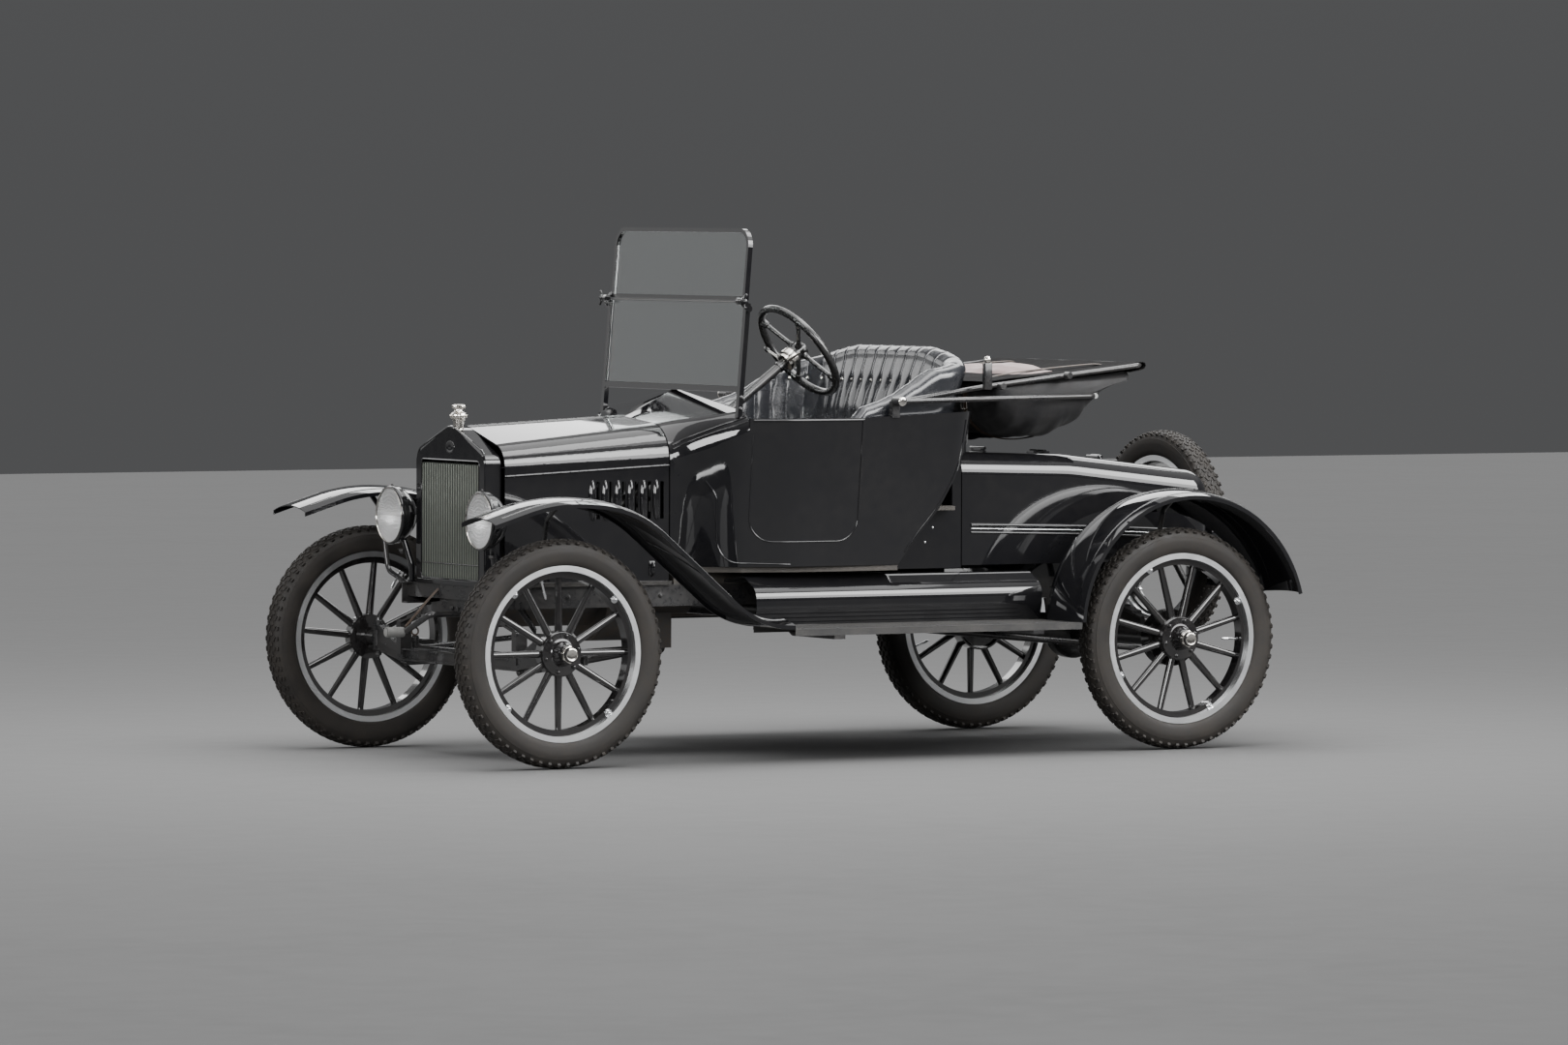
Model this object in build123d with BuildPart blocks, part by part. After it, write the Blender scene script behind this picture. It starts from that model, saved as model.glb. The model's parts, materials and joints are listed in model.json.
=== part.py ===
from build123d import *
import os
from math import asin, cos, degrees, radians, sin, tan

os.makedirs("parts", exist_ok=True)

# A two-seat brass era runabout, in millimetres. X points forward, Y to the car's left, Z up,
# and the origin lies on the ground under the middle of the car.
# Places along the car are given as distances behind the front axle, turned into x by at().

# Driving dimensions
wheelbase = 2540
track = 1422
tyre_radius = 399
tyre_section = 95
rim_radius = 307
front_reach = 315
board_top = 470
frame_top = 612
frame_half = 330
floor_top = 676
belt_height = 1201
body_half = 600
hood_front_aft = 28
cowl_front_aft = 660
cowl_rear_aft = 868
windshield_aft = 855
body_rear_aft = 1790
deck_overhang = 329
windshield_top = 1870

# Clearances and sheet, shared by every piece
overrun = 40
seat_gap = 0.3
fit = 0.05
moving_gap = 5
sheet = 4
turning_gap = 1

# The rear fender is a circle about a point above the rear hub, and ends the car behind
fender_width = 250
fender_crown = 22
fender_lip = 14
rear_fender_radius = 475
rear_fender_lift = 42
rear_fender_end = 166
rear_reach = (rear_fender_radius + fender_crown) * cos(radians(180 - rear_fender_end))
front_axle_x = (wheelbase + rear_reach - tyre_radius) / 2
deck_rear_aft = wheelbase + deck_overhang


def at(aft):
    # x of a place that far behind the front axle
    return front_axle_x - aft


def block(x_range, y_range, z_range, mode=Mode.ADD):
    # a box between the given limits
    sizes = [abs(high - low) for low, high in (x_range, y_range, z_range)]
    with Locations(tuple((low + high) / 2 for low, high in (x_range, y_range, z_range))):
        Box(*sizes, mode=mode)


def rod(start, end, radius, end_radius=None, mode=Mode.ADD):
    # a round bar from point to point, tapered when an end radius is given
    line = Vector(*end) - Vector(*start)
    lowest = (Align.CENTER, Align.CENTER, Align.MIN)
    with Locations(Plane(origin=start, z_dir=line)):
        if end_radius is None:
            Cylinder(radius, line.length, align=lowest, mode=mode)
        else:
            Cone(radius, end_radius, line.length, align=lowest, mode=mode)


def bent_rod(points, radius, corner):
    # a round bar bent to a path
    with BuildLine() as path:
        FilletPolyline(points, radius=corner)
    with BuildSketch(Plane(origin=path.line @ 0, z_dir=path.line % 0)) as section:
        Circle(radius)
    sweep(section.sketch, path.line)


def cap_front(plane_x, y_half, z_range, mode):
    # the space ahead of a plane across the car
    block((plane_x, plane_x + 2 * y_half), (-y_half, y_half), z_range, mode)


axle_height = tyre_radius
rear_axle_x = at(wheelbase)
wheel_half = track / 2
rail_depth = 76
rail_flange = 40
rail_web = 5
frame_bottom = frame_top - rail_depth
rail_inner = frame_half - rail_flange
frame_horn = 62
frame_tail = 60
cross_half = 35
cross_depth = 52
mid_cross_aft = 1690
outer_half = wheel_half + fender_width / 2

# Front fenders: a crowned sheet that follows a path over the wheel and down to the board
# path points as shares of the tyre radius: forward of the axle, height
front_fender_shares = ((0.80, 2.133), (0.175, 2.326), (-0.624, 2.271))
front_fender_bends = (1.60, 1.20, 0.88)
board_front_aft = 880
fender_foot_share = 1.865


def fender_section(path):
    # crown, sides turned down and the hollow below, standing square to the path's start
    half = fender_width / 2
    with BuildSketch(Plane(origin=path @ 0, x_dir=(0, -1, 0), z_dir=path % 0)) as section:
        with BuildLine():
            ThreePointArc((-half, 0), (0, fender_crown), (half, 0))
            Polyline((half, 0), (half, -fender_lip), (half - sheet, -fender_lip), (half - sheet, 0))
            ThreePointArc((half - sheet, 0), (0, fender_crown - sheet), (sheet - half, 0))
            Polyline((sheet - half, 0), (sheet - half, -fender_lip), (-half, -fender_lip), (-half, 0))
        make_face()
    return section.sketch


with BuildPart() as front_fenders:
    with BuildLine(Plane.XZ.offset(-wheel_half)) as front_fender_path:
        FilletPolyline(
            *[(at(-ahead * tyre_radius), up * tyre_radius) for ahead, up in front_fender_shares],
            (at(fender_foot_share * tyre_radius), board_top + fender_lip),
            (at(board_front_aft), board_top + fender_lip),
            radius=[share * tyre_radius for share in front_fender_bends],
        )
    sweep(fender_section(front_fender_path.line), front_fender_path.line)
    cap_front(at(-front_reach), outer_half + overrun, (0, windshield_top), Mode.SUBTRACT)
    mirror(about=Plane.XZ)
front_fenders.part.label = "front_fenders"
export_step(front_fenders.part, "parts/front_fenders.step")

# Rear fenders: nearly a whole arch, its front foot on the end of the running board
rear_arc_centre = axle_height + rear_fender_lift
rear_foot_angle = degrees(asin((board_top + seat_gap - rear_arc_centre) / rear_fender_radius))
board_rear_aft = wheelbase - rear_fender_radius - fender_crown
valance_depth = 66
valance_turn = 12
valance_start = rear_foot_angle + valance_turn

with BuildPart() as rear_fenders:
    with BuildLine(Plane.XZ.offset(-wheel_half)) as rear_fender_path:
        CenterArc(
            (rear_axle_x, rear_arc_centre),
            rear_fender_radius,
            rear_foot_angle,
            rear_fender_end - rear_foot_angle,
        )
    sweep(fender_section(rear_fender_path.line), rear_fender_path.line)
    block(
        (at(board_rear_aft) - overrun, at(board_rear_aft) + overrun),
        (0, outer_half + overrun),
        (0, board_top),
        Mode.SUBTRACT,
    )
    with BuildSketch(Plane.XZ.offset(fender_width / 2 - wheel_half)) as valance:
        with BuildLine():
            upper = CenterArc(
                (rear_axle_x, rear_arc_centre),
                rear_fender_radius,
                valance_start,
                rear_fender_end - valance_start,
            )
            lower = CenterArc(
                (rear_axle_x, rear_arc_centre),
                rear_fender_radius - valance_depth,
                valance_start,
                rear_fender_end - valance_start,
            )
            Line(upper @ 0, lower @ 0)
            Line(upper @ 1, lower @ 1)
        make_face()
    extrude(valance.sketch, amount=-sheet)
    mirror(about=Plane.XZ)
rear_fenders.part.label = "rear_fenders"
export_step(rear_fenders.part, "parts/rear_fenders.step")

# Running boards: a pressed tread plate with turned-down edges and ribs along its top
board_depth = 24
board_inner = 541
rib_count = 11
rib_height = 2
rib_width = 6
board_rear_end = board_rear_aft + overrun / 2
rib_pitch = (outer_half - board_inner) / (rib_count + 1)

with BuildPart() as running_boards:
    block(
        (at(board_rear_end), at(board_front_aft)),
        (board_inner, outer_half),
        (board_top - board_depth, board_top),
    )
    block(
        (at(board_rear_end) - overrun, at(board_front_aft) + overrun),
        (board_inner + sheet, outer_half - sheet),
        (board_top - board_depth - overrun, board_top - sheet),
        Mode.SUBTRACT,
    )
    for rib in range(rib_count):
        rib_y = board_inner + (rib + 1) * rib_pitch
        block(
            (at(board_rear_aft) + overrun, at(board_front_aft) - overrun),
            (rib_y - rib_width / 2, rib_y + rib_width / 2),
            (board_top, board_top + rib_height),
        )
    mirror(about=Plane.XZ)
running_boards.part.label = "running_boards"
export_step(running_boards.part, "parts/running_boards.step")

# Splash aprons: a bulged sheet from the board's inner edge up and in over the frame rail
apron_top = 640
apron_bulge = 18
apron_round = 58
apron_flat = 74
apron_fall = 48

with BuildPart() as splash_aprons:
    with BuildSketch(Plane.YZ.offset(at(board_rear_end))):
        with BuildLine():
            apron_line = FilletPolyline(
                (frame_half, frame_top - rail_depth / 2),
                (frame_half, apron_top - apron_bulge),
                (board_inner - apron_flat, apron_top),
                (board_inner + apron_bulge, apron_top - apron_fall),
                (board_inner + apron_bulge, (apron_top + board_top - apron_fall) / 2),
                (board_inner - sheet, board_top - board_depth / 2),
                radius=[apron_bulge / 2, apron_round, apron_round, apron_round],
            )
            offset(apron_line, amount=sheet, side=Side.LEFT)
        make_face()
    extrude(amount=board_rear_end - board_front_aft)
    block(
        (at(board_rear_end) - overrun, at(board_front_aft) + overrun),
        (board_inner, outer_half),
        (board_top - board_depth - overrun, board_top + rib_height),
        Mode.SUBTRACT,
    )
    block(
        (at(board_rear_end) - overrun, at(board_front_aft) + overrun),
        (0, frame_half),
        (0, frame_top + overrun),
        Mode.SUBTRACT,
    )
    mirror(about=Plane.XZ)
splash_aprons.part.label = "splash_aprons"
export_step(splash_aprons.part, "parts/splash_aprons.step")

# Frame: two channel rails, three crossmembers, board brackets and fender irons
bracket_shares = (0.4173, 0.7402)
bracket_half = 22
bracket_depth = 14
bracket_bottom = board_top - board_depth - bracket_depth
iron_radius = 9
iron_pad = 14
iron_bend = 40
iron_knee_shares = ((0.60, 0.09), (0.76, 0.76))
front_crest = front_fender_path.edges().filter_by(GeomType.CIRCLE).sort_by(Axis.Z)[-1]
under_crown = fender_crown - sheet - seat_gap
iron_stations = (
    (front_crest.arc_center.X, front_crest.arc_center.Z + front_crest.radius + under_crown),
    (rear_axle_x, rear_arc_centre + rear_fender_radius + under_crown),
)

with BuildPart() as frame:
    with BuildSketch(Plane.YZ.offset(at(wheelbase + frame_tail))):
        with BuildLine():
            Polyline(
                (frame_half, frame_bottom),
                (frame_half, frame_top),
                (rail_inner, frame_top),
                (rail_inner, frame_top - rail_web),
                (frame_half - rail_web, frame_top - rail_web),
                (frame_half - rail_web, frame_bottom + rail_web),
                (rail_inner, frame_bottom + rail_web),
                (rail_inner, frame_bottom),
                close=True,
            )
        make_face()
    extrude(amount=wheelbase + frame_tail + frame_horn)
    for share in bracket_shares:
        with BuildSketch(Plane.YZ.offset(at(share * wheelbase) - bracket_half)):
            with BuildLine():
                Polyline(
                    (frame_half, frame_bottom + rail_depth / 2),
                    (board_inner, board_top - board_depth),
                    (outer_half, board_top - board_depth),
                    (outer_half, bracket_bottom),
                    (board_inner, bracket_bottom),
                    (frame_half, frame_bottom),
                    close=True,
                )
            make_face()
        extrude(amount=2 * bracket_half)
    for aft in (0, mid_cross_aft, wheelbase):
        block(
            (at(aft) - cross_half, at(aft) + cross_half),
            (0, frame_half - rail_web),
            (frame_top - cross_depth, frame_top),
        )
    split(bisect_by=Plane.XZ, keep=Keep.BOTTOM)
    mirror(about=Plane.XZ)
frame.part.label = "frame"
export_step(frame.part, "parts/frame.step")

with BuildPart() as fender_irons:
    for iron_x, fender_height in iron_stations:
        rise = fender_height - frame_top
        bent_rod(
            (
                (iron_x, frame_half, frame_top - rail_depth / 2),
                *[
                    (iron_x, frame_half + out * (wheel_half - frame_half), frame_top + up * rise)
                    for out, up in iron_knee_shares
                ],
                (iron_x, wheel_half, fender_height - 2 * iron_radius),
            ),
            iron_radius,
            iron_bend,
        )
        pad_foot = fender_height - 3 * iron_radius
        rod((iron_x, wheel_half, pad_foot), (iron_x, wheel_half, fender_height), iron_pad)
        block(
            (iron_x - iron_pad, iron_x + iron_pad),
            (frame_half, frame_half + iron_radius),
            (frame_bottom + rail_web, frame_top - rail_web),
        )
    block((at(wheelbase) - outer_half, at(-front_reach)), (0, frame_half), (0, windshield_top), Mode.SUBTRACT)
    mirror(about=Plane.XZ)
fender_irons.part.label = "fender_irons"
export_step(fender_irons.part, "parts/fender_irons.step")

# Springs: one inverted leaf spring across the car over each axle, its leaves clamped in the middle
leaf_thickness = 7
leaf_width = 44
leaf_shares = (1.0, 0.86, 0.72, 0.57, 0.42, 0.27)
front_spring_half = 430
rear_spring_half = 520
spring_drop = 62
spring_eye = 15
clamp_half = 32
spring_seat = frame_top - cross_depth
stack_height = leaf_thickness * len(leaf_shares)
spring_stations = ((0, front_spring_half), (wheelbase, rear_spring_half))


def spring_leaf(aft, arch_radius, layer, half_length):
    # one leaf: a curved strip between two arcs about the same centre
    centre = spring_seat - stack_height - arch_radius
    inner = arch_radius + layer * leaf_thickness
    outer = inner + leaf_thickness
    half_angle = degrees(half_length / inner)
    with BuildSketch(Plane.YZ.offset(at(aft) - leaf_width / 2)) as section:
        with BuildLine():
            inside = CenterArc((0, centre), inner, 90 - half_angle, 2 * half_angle)
            outside = CenterArc((0, centre), outer, 90 - half_angle, 2 * half_angle)
            Line(inside @ 0, outside @ 0)
            Line(inside @ 1, outside @ 1)
        make_face()
    extrude(section.sketch, amount=leaf_width)


with BuildPart() as springs:
    for spring_aft, half_span in spring_stations:
        arch_radius = (half_span**2 + spring_drop**2) / (2 * spring_drop)
        for layer, share in enumerate(leaf_shares):
            spring_leaf(spring_aft, arch_radius, layer, half_span * share)
        eye_height = spring_seat - stack_height - spring_drop
        for side in (1, -1):
            rod(
                (at(spring_aft) - leaf_width / 2, side * half_span, eye_height),
                (at(spring_aft) + leaf_width / 2, side * half_span, eye_height),
                spring_eye,
            )
        block(
            (at(spring_aft) - leaf_width / 2, at(spring_aft) + leaf_width / 2),
            (-clamp_half, clamp_half),
            (spring_seat - stack_height - leaf_thickness, spring_seat),
        )
springs.part.label = "springs"
export_step(springs.part, "parts/springs.step")

# Front axle: a forged I-beam that rises to a yoke at each kingpin, with perches and a wishbone
kingpin_y = 625
kingpin_radius = 10
beam_half = 18
beam_height = 44
beam_web = 6
beam_drop = 52
yoke_radius = 20
yoke_gap_half = 28
yoke_lug = 18
yoke_inset = 40
perch_half = 17
wishbone_radius = 11
wishbone_drop = 30
wishbone_aft = 800
ball_radius = 24
ball_height = 372
beam_centre = axle_height - beam_drop
lug_reach = yoke_gap_half + yoke_lug

with BuildPart() as front_axle:
    with BuildSketch(Plane.YZ.offset(at(beam_half))):
        with BuildLine():
            Polyline(
                (0, beam_centre - beam_height / 2),
                (front_spring_half, beam_centre - beam_height / 2),
                (kingpin_y - yoke_inset, axle_height - lug_reach),
                (kingpin_y, axle_height - lug_reach),
                (kingpin_y, axle_height - yoke_gap_half),
                (kingpin_y - yoke_inset / 2 - moving_gap, axle_height - yoke_gap_half),
                (kingpin_y - yoke_inset / 2 - moving_gap, axle_height + yoke_gap_half),
                (kingpin_y, axle_height + yoke_gap_half),
                (kingpin_y, axle_height + lug_reach),
                (kingpin_y - yoke_inset, axle_height + lug_reach),
                (front_spring_half, beam_centre + beam_height / 2),
                (0, beam_centre + beam_height / 2),
                close=True,
            )
        make_face()
    extrude(amount=2 * beam_half)
    for face_x in (at(0) - beam_half, at(0) + beam_half):
        block(
            (face_x - beam_half + beam_web / 2, face_x + beam_half - beam_web / 2),
            (0, front_spring_half - perch_half - beam_web),
            (beam_centre - beam_height / 2 + beam_web, beam_centre + beam_height / 2 - beam_web),
            Mode.SUBTRACT,
        )
    for lug_base in (axle_height - lug_reach, axle_height + yoke_gap_half):
        rod((at(0), kingpin_y, lug_base), (at(0), kingpin_y, lug_base + yoke_lug), yoke_radius)
    rod(
        (at(0), kingpin_y, axle_height - lug_reach - overrun),
        (at(0), kingpin_y, axle_height + lug_reach + overrun),
        kingpin_radius + fit,
        mode=Mode.SUBTRACT,
    )
    block(
        (at(0) - leaf_width / 2, at(0) + leaf_width / 2),
        (front_spring_half - perch_half, front_spring_half + perch_half),
        (beam_centre, spring_seat - stack_height - spring_drop),
    )
    add(springs.part, mode=Mode.SUBTRACT)
    rod(
        (at(0), front_spring_half, beam_centre - wishbone_drop),
        (at(0), front_spring_half, beam_centre),
        wishbone_radius,
    )
    rod(
        (at(0), front_spring_half, beam_centre - wishbone_drop),
        (at(wishbone_aft), 0, ball_height),
        wishbone_radius,
    )
    split(bisect_by=Plane.XZ, keep=Keep.BOTTOM)
    mirror(about=Plane.XZ)
    with Locations((at(wishbone_aft), 0, ball_height)):
        Sphere(ball_radius)
front_axle.part.label = "front_axle"
export_step(front_axle.part, "parts/front_axle.step")

# Engine: a plain block with its round crankcase, flywheel housing and mounting arms
engine_front_aft = 110
engine_rear_aft = 500
engine_half = 95
engine_top = 850
crank_height = 570
crankcase_radius = 112
flywheel_radius = 168
flywheel_length = 140
tail_radius = 80
tail_rear_aft = 900
arm_width = 46
arm_depth = 20
socket_half = 34

with BuildPart() as engine:
    block(
        (at(engine_rear_aft), at(engine_front_aft)),
        (-engine_half, engine_half),
        (crank_height, engine_top),
    )
    rod((at(engine_front_aft), 0, crank_height), (at(engine_rear_aft), 0, crank_height), crankcase_radius)
    rod(
        (at(engine_rear_aft), 0, crank_height),
        (at(engine_rear_aft + flywheel_length), 0, crank_height),
        flywheel_radius,
    )
    tail_front_aft = engine_rear_aft + flywheel_length
    rod((at(tail_front_aft), 0, crank_height), (at(tail_rear_aft), 0, crank_height), tail_radius)
    block(
        (at(engine_rear_aft + arm_width), at(engine_rear_aft)),
        (rail_web - frame_half, frame_half - rail_web),
        (frame_bottom + rail_web, frame_bottom + rail_web + arm_depth),
    )
    block(
        (at(wishbone_aft) - socket_half, at(wishbone_aft) + socket_half),
        (-socket_half, socket_half),
        (ball_height, crank_height),
    )
    add(front_axle.part, mode=Mode.SUBTRACT)
    front_support = crank_height + cross_depth / 2
    rod((at(cross_half), 0, front_support), (at(engine_front_aft), 0, front_support), socket_half / 2)
engine.part.label = "engine"
export_step(engine.part, "parts/engine.step")

# Rear axle: differential, tapered tubes, torque tube, radius rods, brake plates and spring perches
diff_radius = 104
diff_half = 95
tube_radius = 44
tube_end_radius = 32
stub_radius = 20
stub_reach = 70
plate_radius = 88
plate_thickness = 6
plate_inset = 60
torque_radius = 58
torque_end_radius = 36
torque_front_aft = 902
rod_front_aft = 1150
tube_end = wheel_half - plate_inset

with BuildPart() as rear_axle:
    with Locations(Location((rear_axle_x, 0, axle_height), (90, 0, 0))):
        Cylinder(diff_radius, diff_half)
    fillet(rear_axle.edges().filter_by(GeomType.CIRCLE), radius=diff_half / 3)
    rod((rear_axle_x, 0, axle_height), (rear_axle_x, tube_end, axle_height), tube_radius, tube_end_radius)
    stub_end = wheel_half + stub_reach
    rod((rear_axle_x, tube_end, axle_height), (rear_axle_x, stub_end, axle_height), stub_radius)
    rod(
        (rear_axle_x, tube_end - plate_thickness, axle_height),
        (rear_axle_x, tube_end, axle_height),
        plate_radius,
    )
    rod(
        (rear_axle_x + tube_radius, tube_end - tube_radius, axle_height - tube_radius),
        (at(rod_front_aft), 0, crank_height - tail_radius),
        wishbone_radius,
    )
    block(
        (rear_axle_x, rear_axle_x + tube_radius + wishbone_radius),
        (tube_end - tube_radius - wishbone_radius, tube_end - tube_radius + wishbone_radius),
        (axle_height - tube_radius - wishbone_radius, axle_height),
    )
    block(
        (rear_axle_x - leaf_width / 2, rear_axle_x + leaf_width / 2),
        (rear_spring_half - perch_half, rear_spring_half + perch_half),
        (axle_height, spring_seat - stack_height - spring_drop),
    )
    add(springs.part, mode=Mode.SUBTRACT)
    split(bisect_by=Plane.XZ, keep=Keep.BOTTOM)
    mirror(about=Plane.XZ)
    rod(
        (rear_axle_x, 0, axle_height),
        (at(torque_front_aft), 0, crank_height - tail_radius / 2),
        torque_radius,
        torque_end_radius,
    )
    add(engine.part, mode=Mode.SUBTRACT)
rear_axle.part.label = "rear_axle"
export_step(rear_axle.part, "parts/rear_axle.step")

# Exhaust: a pipe down the right side to a round muffler under the body
exhaust_y = -205
exhaust_radius = 19
exhaust_height = 490
muffler_radius = 58
muffler_front_aft = 1760
muffler_length = 430
exhaust_elbow = 50
exhaust_drop_aft = 400

with BuildPart() as exhaust:
    bent_rod(
        (
            (at(exhaust_drop_aft), -engine_half, engine_top - exhaust_elbow),
            (at(exhaust_drop_aft), exhaust_y, engine_top - exhaust_elbow),
            (at(exhaust_drop_aft), exhaust_y, exhaust_height),
            (at(muffler_front_aft), exhaust_y, exhaust_height),
        ),
        exhaust_radius,
        exhaust_elbow,
    )
    rod(
        (at(muffler_front_aft), exhaust_y, exhaust_height),
        (at(muffler_front_aft + muffler_length), exhaust_y, exhaust_height),
        muffler_radius,
    )
    block(
        (at(mid_cross_aft) - cross_half / 2, at(mid_cross_aft) + cross_half / 2),
        (exhaust_y - exhaust_radius / 2, exhaust_y + exhaust_radius / 2),
        (exhaust_height, frame_top - cross_depth),
    )
    add(engine.part, mode=Mode.SUBTRACT)
exhaust.part.label = "exhaust"
export_step(exhaust.part, "parts/exhaust.step")

# Radiator: a gabled shell open to the rear, its core of upright fins and its filler cap
radiator_half = 252
radiator_front = 45
radiator_rear = 23
radiator_corner = 1082
radiator_apex = 1178
radiator_round = 36
radiator_wall = 6
window_half = 214
window_top = 1052
window_bottom = 632
window_round = 12


def radiator_outline(inset):
    # the shell's outline seen from the front, moved in by the inset
    rise = (radiator_apex - radiator_corner) * radiator_half / (radiator_half - radiator_round)
    with BuildLine() as outline:
        FilletPolyline(
            (radiator_half - inset, frame_top + inset),
            (radiator_half - inset, radiator_apex - rise - inset),
            (0, radiator_apex - inset),
            (inset - radiator_half, radiator_apex - rise - inset),
            (inset - radiator_half, frame_top + inset),
            radius=[radiator_round - inset, radiator_half / 2, radiator_round - inset],
        )
        Line((inset - radiator_half, frame_top + inset), (radiator_half - inset, frame_top + inset))
    make_face(outline.line)


with BuildPart() as radiator_shell:
    with BuildSketch(Plane.YZ.offset(at(radiator_rear))):
        radiator_outline(0)
    extrude(amount=radiator_front + radiator_rear)
    with BuildSketch(Plane.YZ.offset(at(radiator_rear) - overrun)):
        radiator_outline(radiator_wall)
    extrude(amount=radiator_front + radiator_rear + overrun - radiator_wall, mode=Mode.SUBTRACT)
    with BuildSketch(Plane.YZ.offset(at(0))):
        with Locations((0, (window_top + window_bottom) / 2)):
            RectangleRounded(2 * window_half, window_top - window_bottom, window_round)
    extrude(amount=radiator_front + overrun, mode=Mode.SUBTRACT)
radiator_shell.part.label = "radiator_shell"
export_step(radiator_shell.part, "parts/radiator_shell.step")

fin_count = 24
fin_share = 0.62
fin_depth = 12
core_front = radiator_front - radiator_wall - seat_gap
core_half = radiator_half - radiator_wall - seat_gap
fin_pitch = 2 * window_half / fin_count
core_top = radiator_corner - radiator_wall - radiator_round

with BuildPart() as radiator_core:
    core_low = frame_top + radiator_wall
    block((at(radiator_rear), at(-core_front)), (-core_half, core_half), (core_low, core_top))
    with Locations((at(-core_front), 0, (window_top + window_bottom) / 2)):
        with GridLocations(0, fin_pitch, 1, fin_count - 1):
            Box(2 * fin_depth, fin_pitch * (1 - fin_share), window_top - window_bottom, mode=Mode.SUBTRACT)
radiator_core.part.label = "radiator_core"
export_step(radiator_core.part, "parts/radiator_core.step")

neck_radius = 20
cap_radius = 30
cap_base = 1200
cap_top = 1244
cap_lug = 9
cap_foot_share = 0.8
neck_foot = radiator_apex - 2 * radiator_wall
cap_x = at((radiator_rear - radiator_front) / 2)

with BuildPart() as radiator_cap:
    rod((cap_x, 0, neck_foot - cap_lug), (cap_x, 0, cap_base), neck_radius)
    rod((cap_x, 0, cap_base), (cap_x, 0, cap_top - cap_lug), cap_radius * cap_foot_share, cap_radius)
    with Locations((cap_x, 0, cap_top - cap_lug)):
        with PolarLocations(cap_radius - cap_lug, 4):
            Cylinder(cap_lug, cap_lug, align=(Align.CENTER, Align.CENTER, Align.MIN))
        Cylinder(cap_radius - cap_lug, cap_lug / 2, align=(Align.CENTER, Align.CENTER, Align.MIN))
    add(radiator_shell.part, mode=Mode.SUBTRACT)
    with BuildSketch(Plane.YZ.offset(at(radiator_rear) - overrun)):
        radiator_outline(radiator_wall)
    extrude(amount=radiator_front + radiator_rear + overrun, mode=Mode.SUBTRACT)
radiator_cap.part.label = "radiator_cap"
export_step(radiator_cap.part, "parts/radiator_cap.step")

# Hood: a hinge rod along the top, two top panels and two side panels on wooden shelves
hood_front_half = 272
hood_rear_half = 330
hood_front_top = 1168
hood_rear_top = 1200
hood_front_fall = 74
hood_rear_fall = 31
hood_front_round = 88
hood_rear_round = 130
side_hinge_front = 1000
side_hinge_rear = 1034
hood_rear_aft = cowl_front_aft - moving_gap
hinge_radius = 5
side_barrel = 4
shelf_depth = 14
shelf_width = 74
shelf_top = frame_top + shelf_depth
louvre_count = 6
louvre_first_aft = 372
louvre_pitch = 49
louvre_width = 9
louvre_length = 132
louvre_top = 978

# columns: distance aft, half width, top, corner height, corner radius, hinge height
hood_ends = (
    (
        hood_front_aft,
        hood_front_half,
        hood_front_top,
        hood_front_top - hood_front_fall,
        hood_front_round,
        side_hinge_front,
    ),
    (
        hood_rear_aft,
        hood_rear_half,
        hood_rear_top,
        hood_rear_top - hood_rear_fall,
        hood_rear_round,
        side_hinge_rear,
    ),
)


def hood_top(side):
    with BuildPart() as panel:
        sections = []
        for aft, half, top, corner, bend, hinge in hood_ends:
            with BuildSketch(Plane.YZ.offset(at(aft))) as section:
                with BuildLine():
                    edge = FilletPolyline(
                        (side * (hinge_radius + seat_gap), top),
                        (side * half, corner),
                        (side * half, hinge),
                        radius=bend,
                    )
                    offset(edge, amount=sheet, side=Side.RIGHT if side > 0 else Side.LEFT)
                make_face()
            sections.append(section.sketch)
        loft(sections)
        front, rear = [(at(aft), side * (half - sheet / 2), hinge) for aft, half, _, _, _, hinge in hood_ends]
        rod(front, rear, side_barrel)
    return panel


def hood_side(side):
    with BuildPart() as panel:
        sections = []
        for aft, half, _, _, _, hinge in hood_ends:
            with BuildSketch(Plane.YZ.offset(at(aft))) as section:
                top = hinge - side_barrel - seat_gap
                with Locations((side * (half - sheet / 2), (top + shelf_top + seat_gap) / 2)):
                    Rectangle(sheet, top - shelf_top - seat_gap)
            sections.append(section.sketch)
        loft(sections)
        for louvre in range(louvre_count):
            aft = louvre_first_aft + louvre * louvre_pitch
            along = (aft - hood_front_aft) / (hood_rear_aft - hood_front_aft)
            skin = side * (hood_front_half + along * (hood_rear_half - hood_front_half))
            rod((at(aft), skin, louvre_top), (at(aft), skin, louvre_top - louvre_length), louvre_width)
            block(
                (at(aft) - 2 * louvre_width, at(aft)),
                (skin - side * 2 * louvre_width, skin + side * 2 * louvre_width),
                (louvre_top, louvre_top - louvre_length),
                Mode.SUBTRACT,
            )
    return panel


for side, hand in ((1, "left"), (-1, "right")):
    top_panel = hood_top(side)
    top_panel.part.label = f"hood_top_{hand}"
    export_step(top_panel.part, f"parts/hood_top_{hand}.step")
    side_panel = hood_side(side)
    side_panel.part.label = f"hood_side_{hand}"
    export_step(side_panel.part, f"parts/hood_side_{hand}.step")

with BuildPart() as hood_rod:
    rod(
        (at(radiator_rear + seat_gap), 0, hood_front_top),
        (at(cowl_front_aft - seat_gap), 0, hood_rear_top),
        hinge_radius,
    )
hood_rod.part.label = "hood_rod"
export_step(hood_rod.part, "parts/hood_rod.step")

with BuildPart() as hood_shelves:
    block(
        (at(cowl_front_aft), at(hood_front_aft)),
        (frame_half - shelf_width, frame_half + shelf_depth),
        (frame_top, shelf_top),
    )
    mirror(about=Plane.XZ)
hood_shelves.part.label = "hood_shelves"
export_step(hood_shelves.part, "parts/hood_shelves.step")

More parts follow.
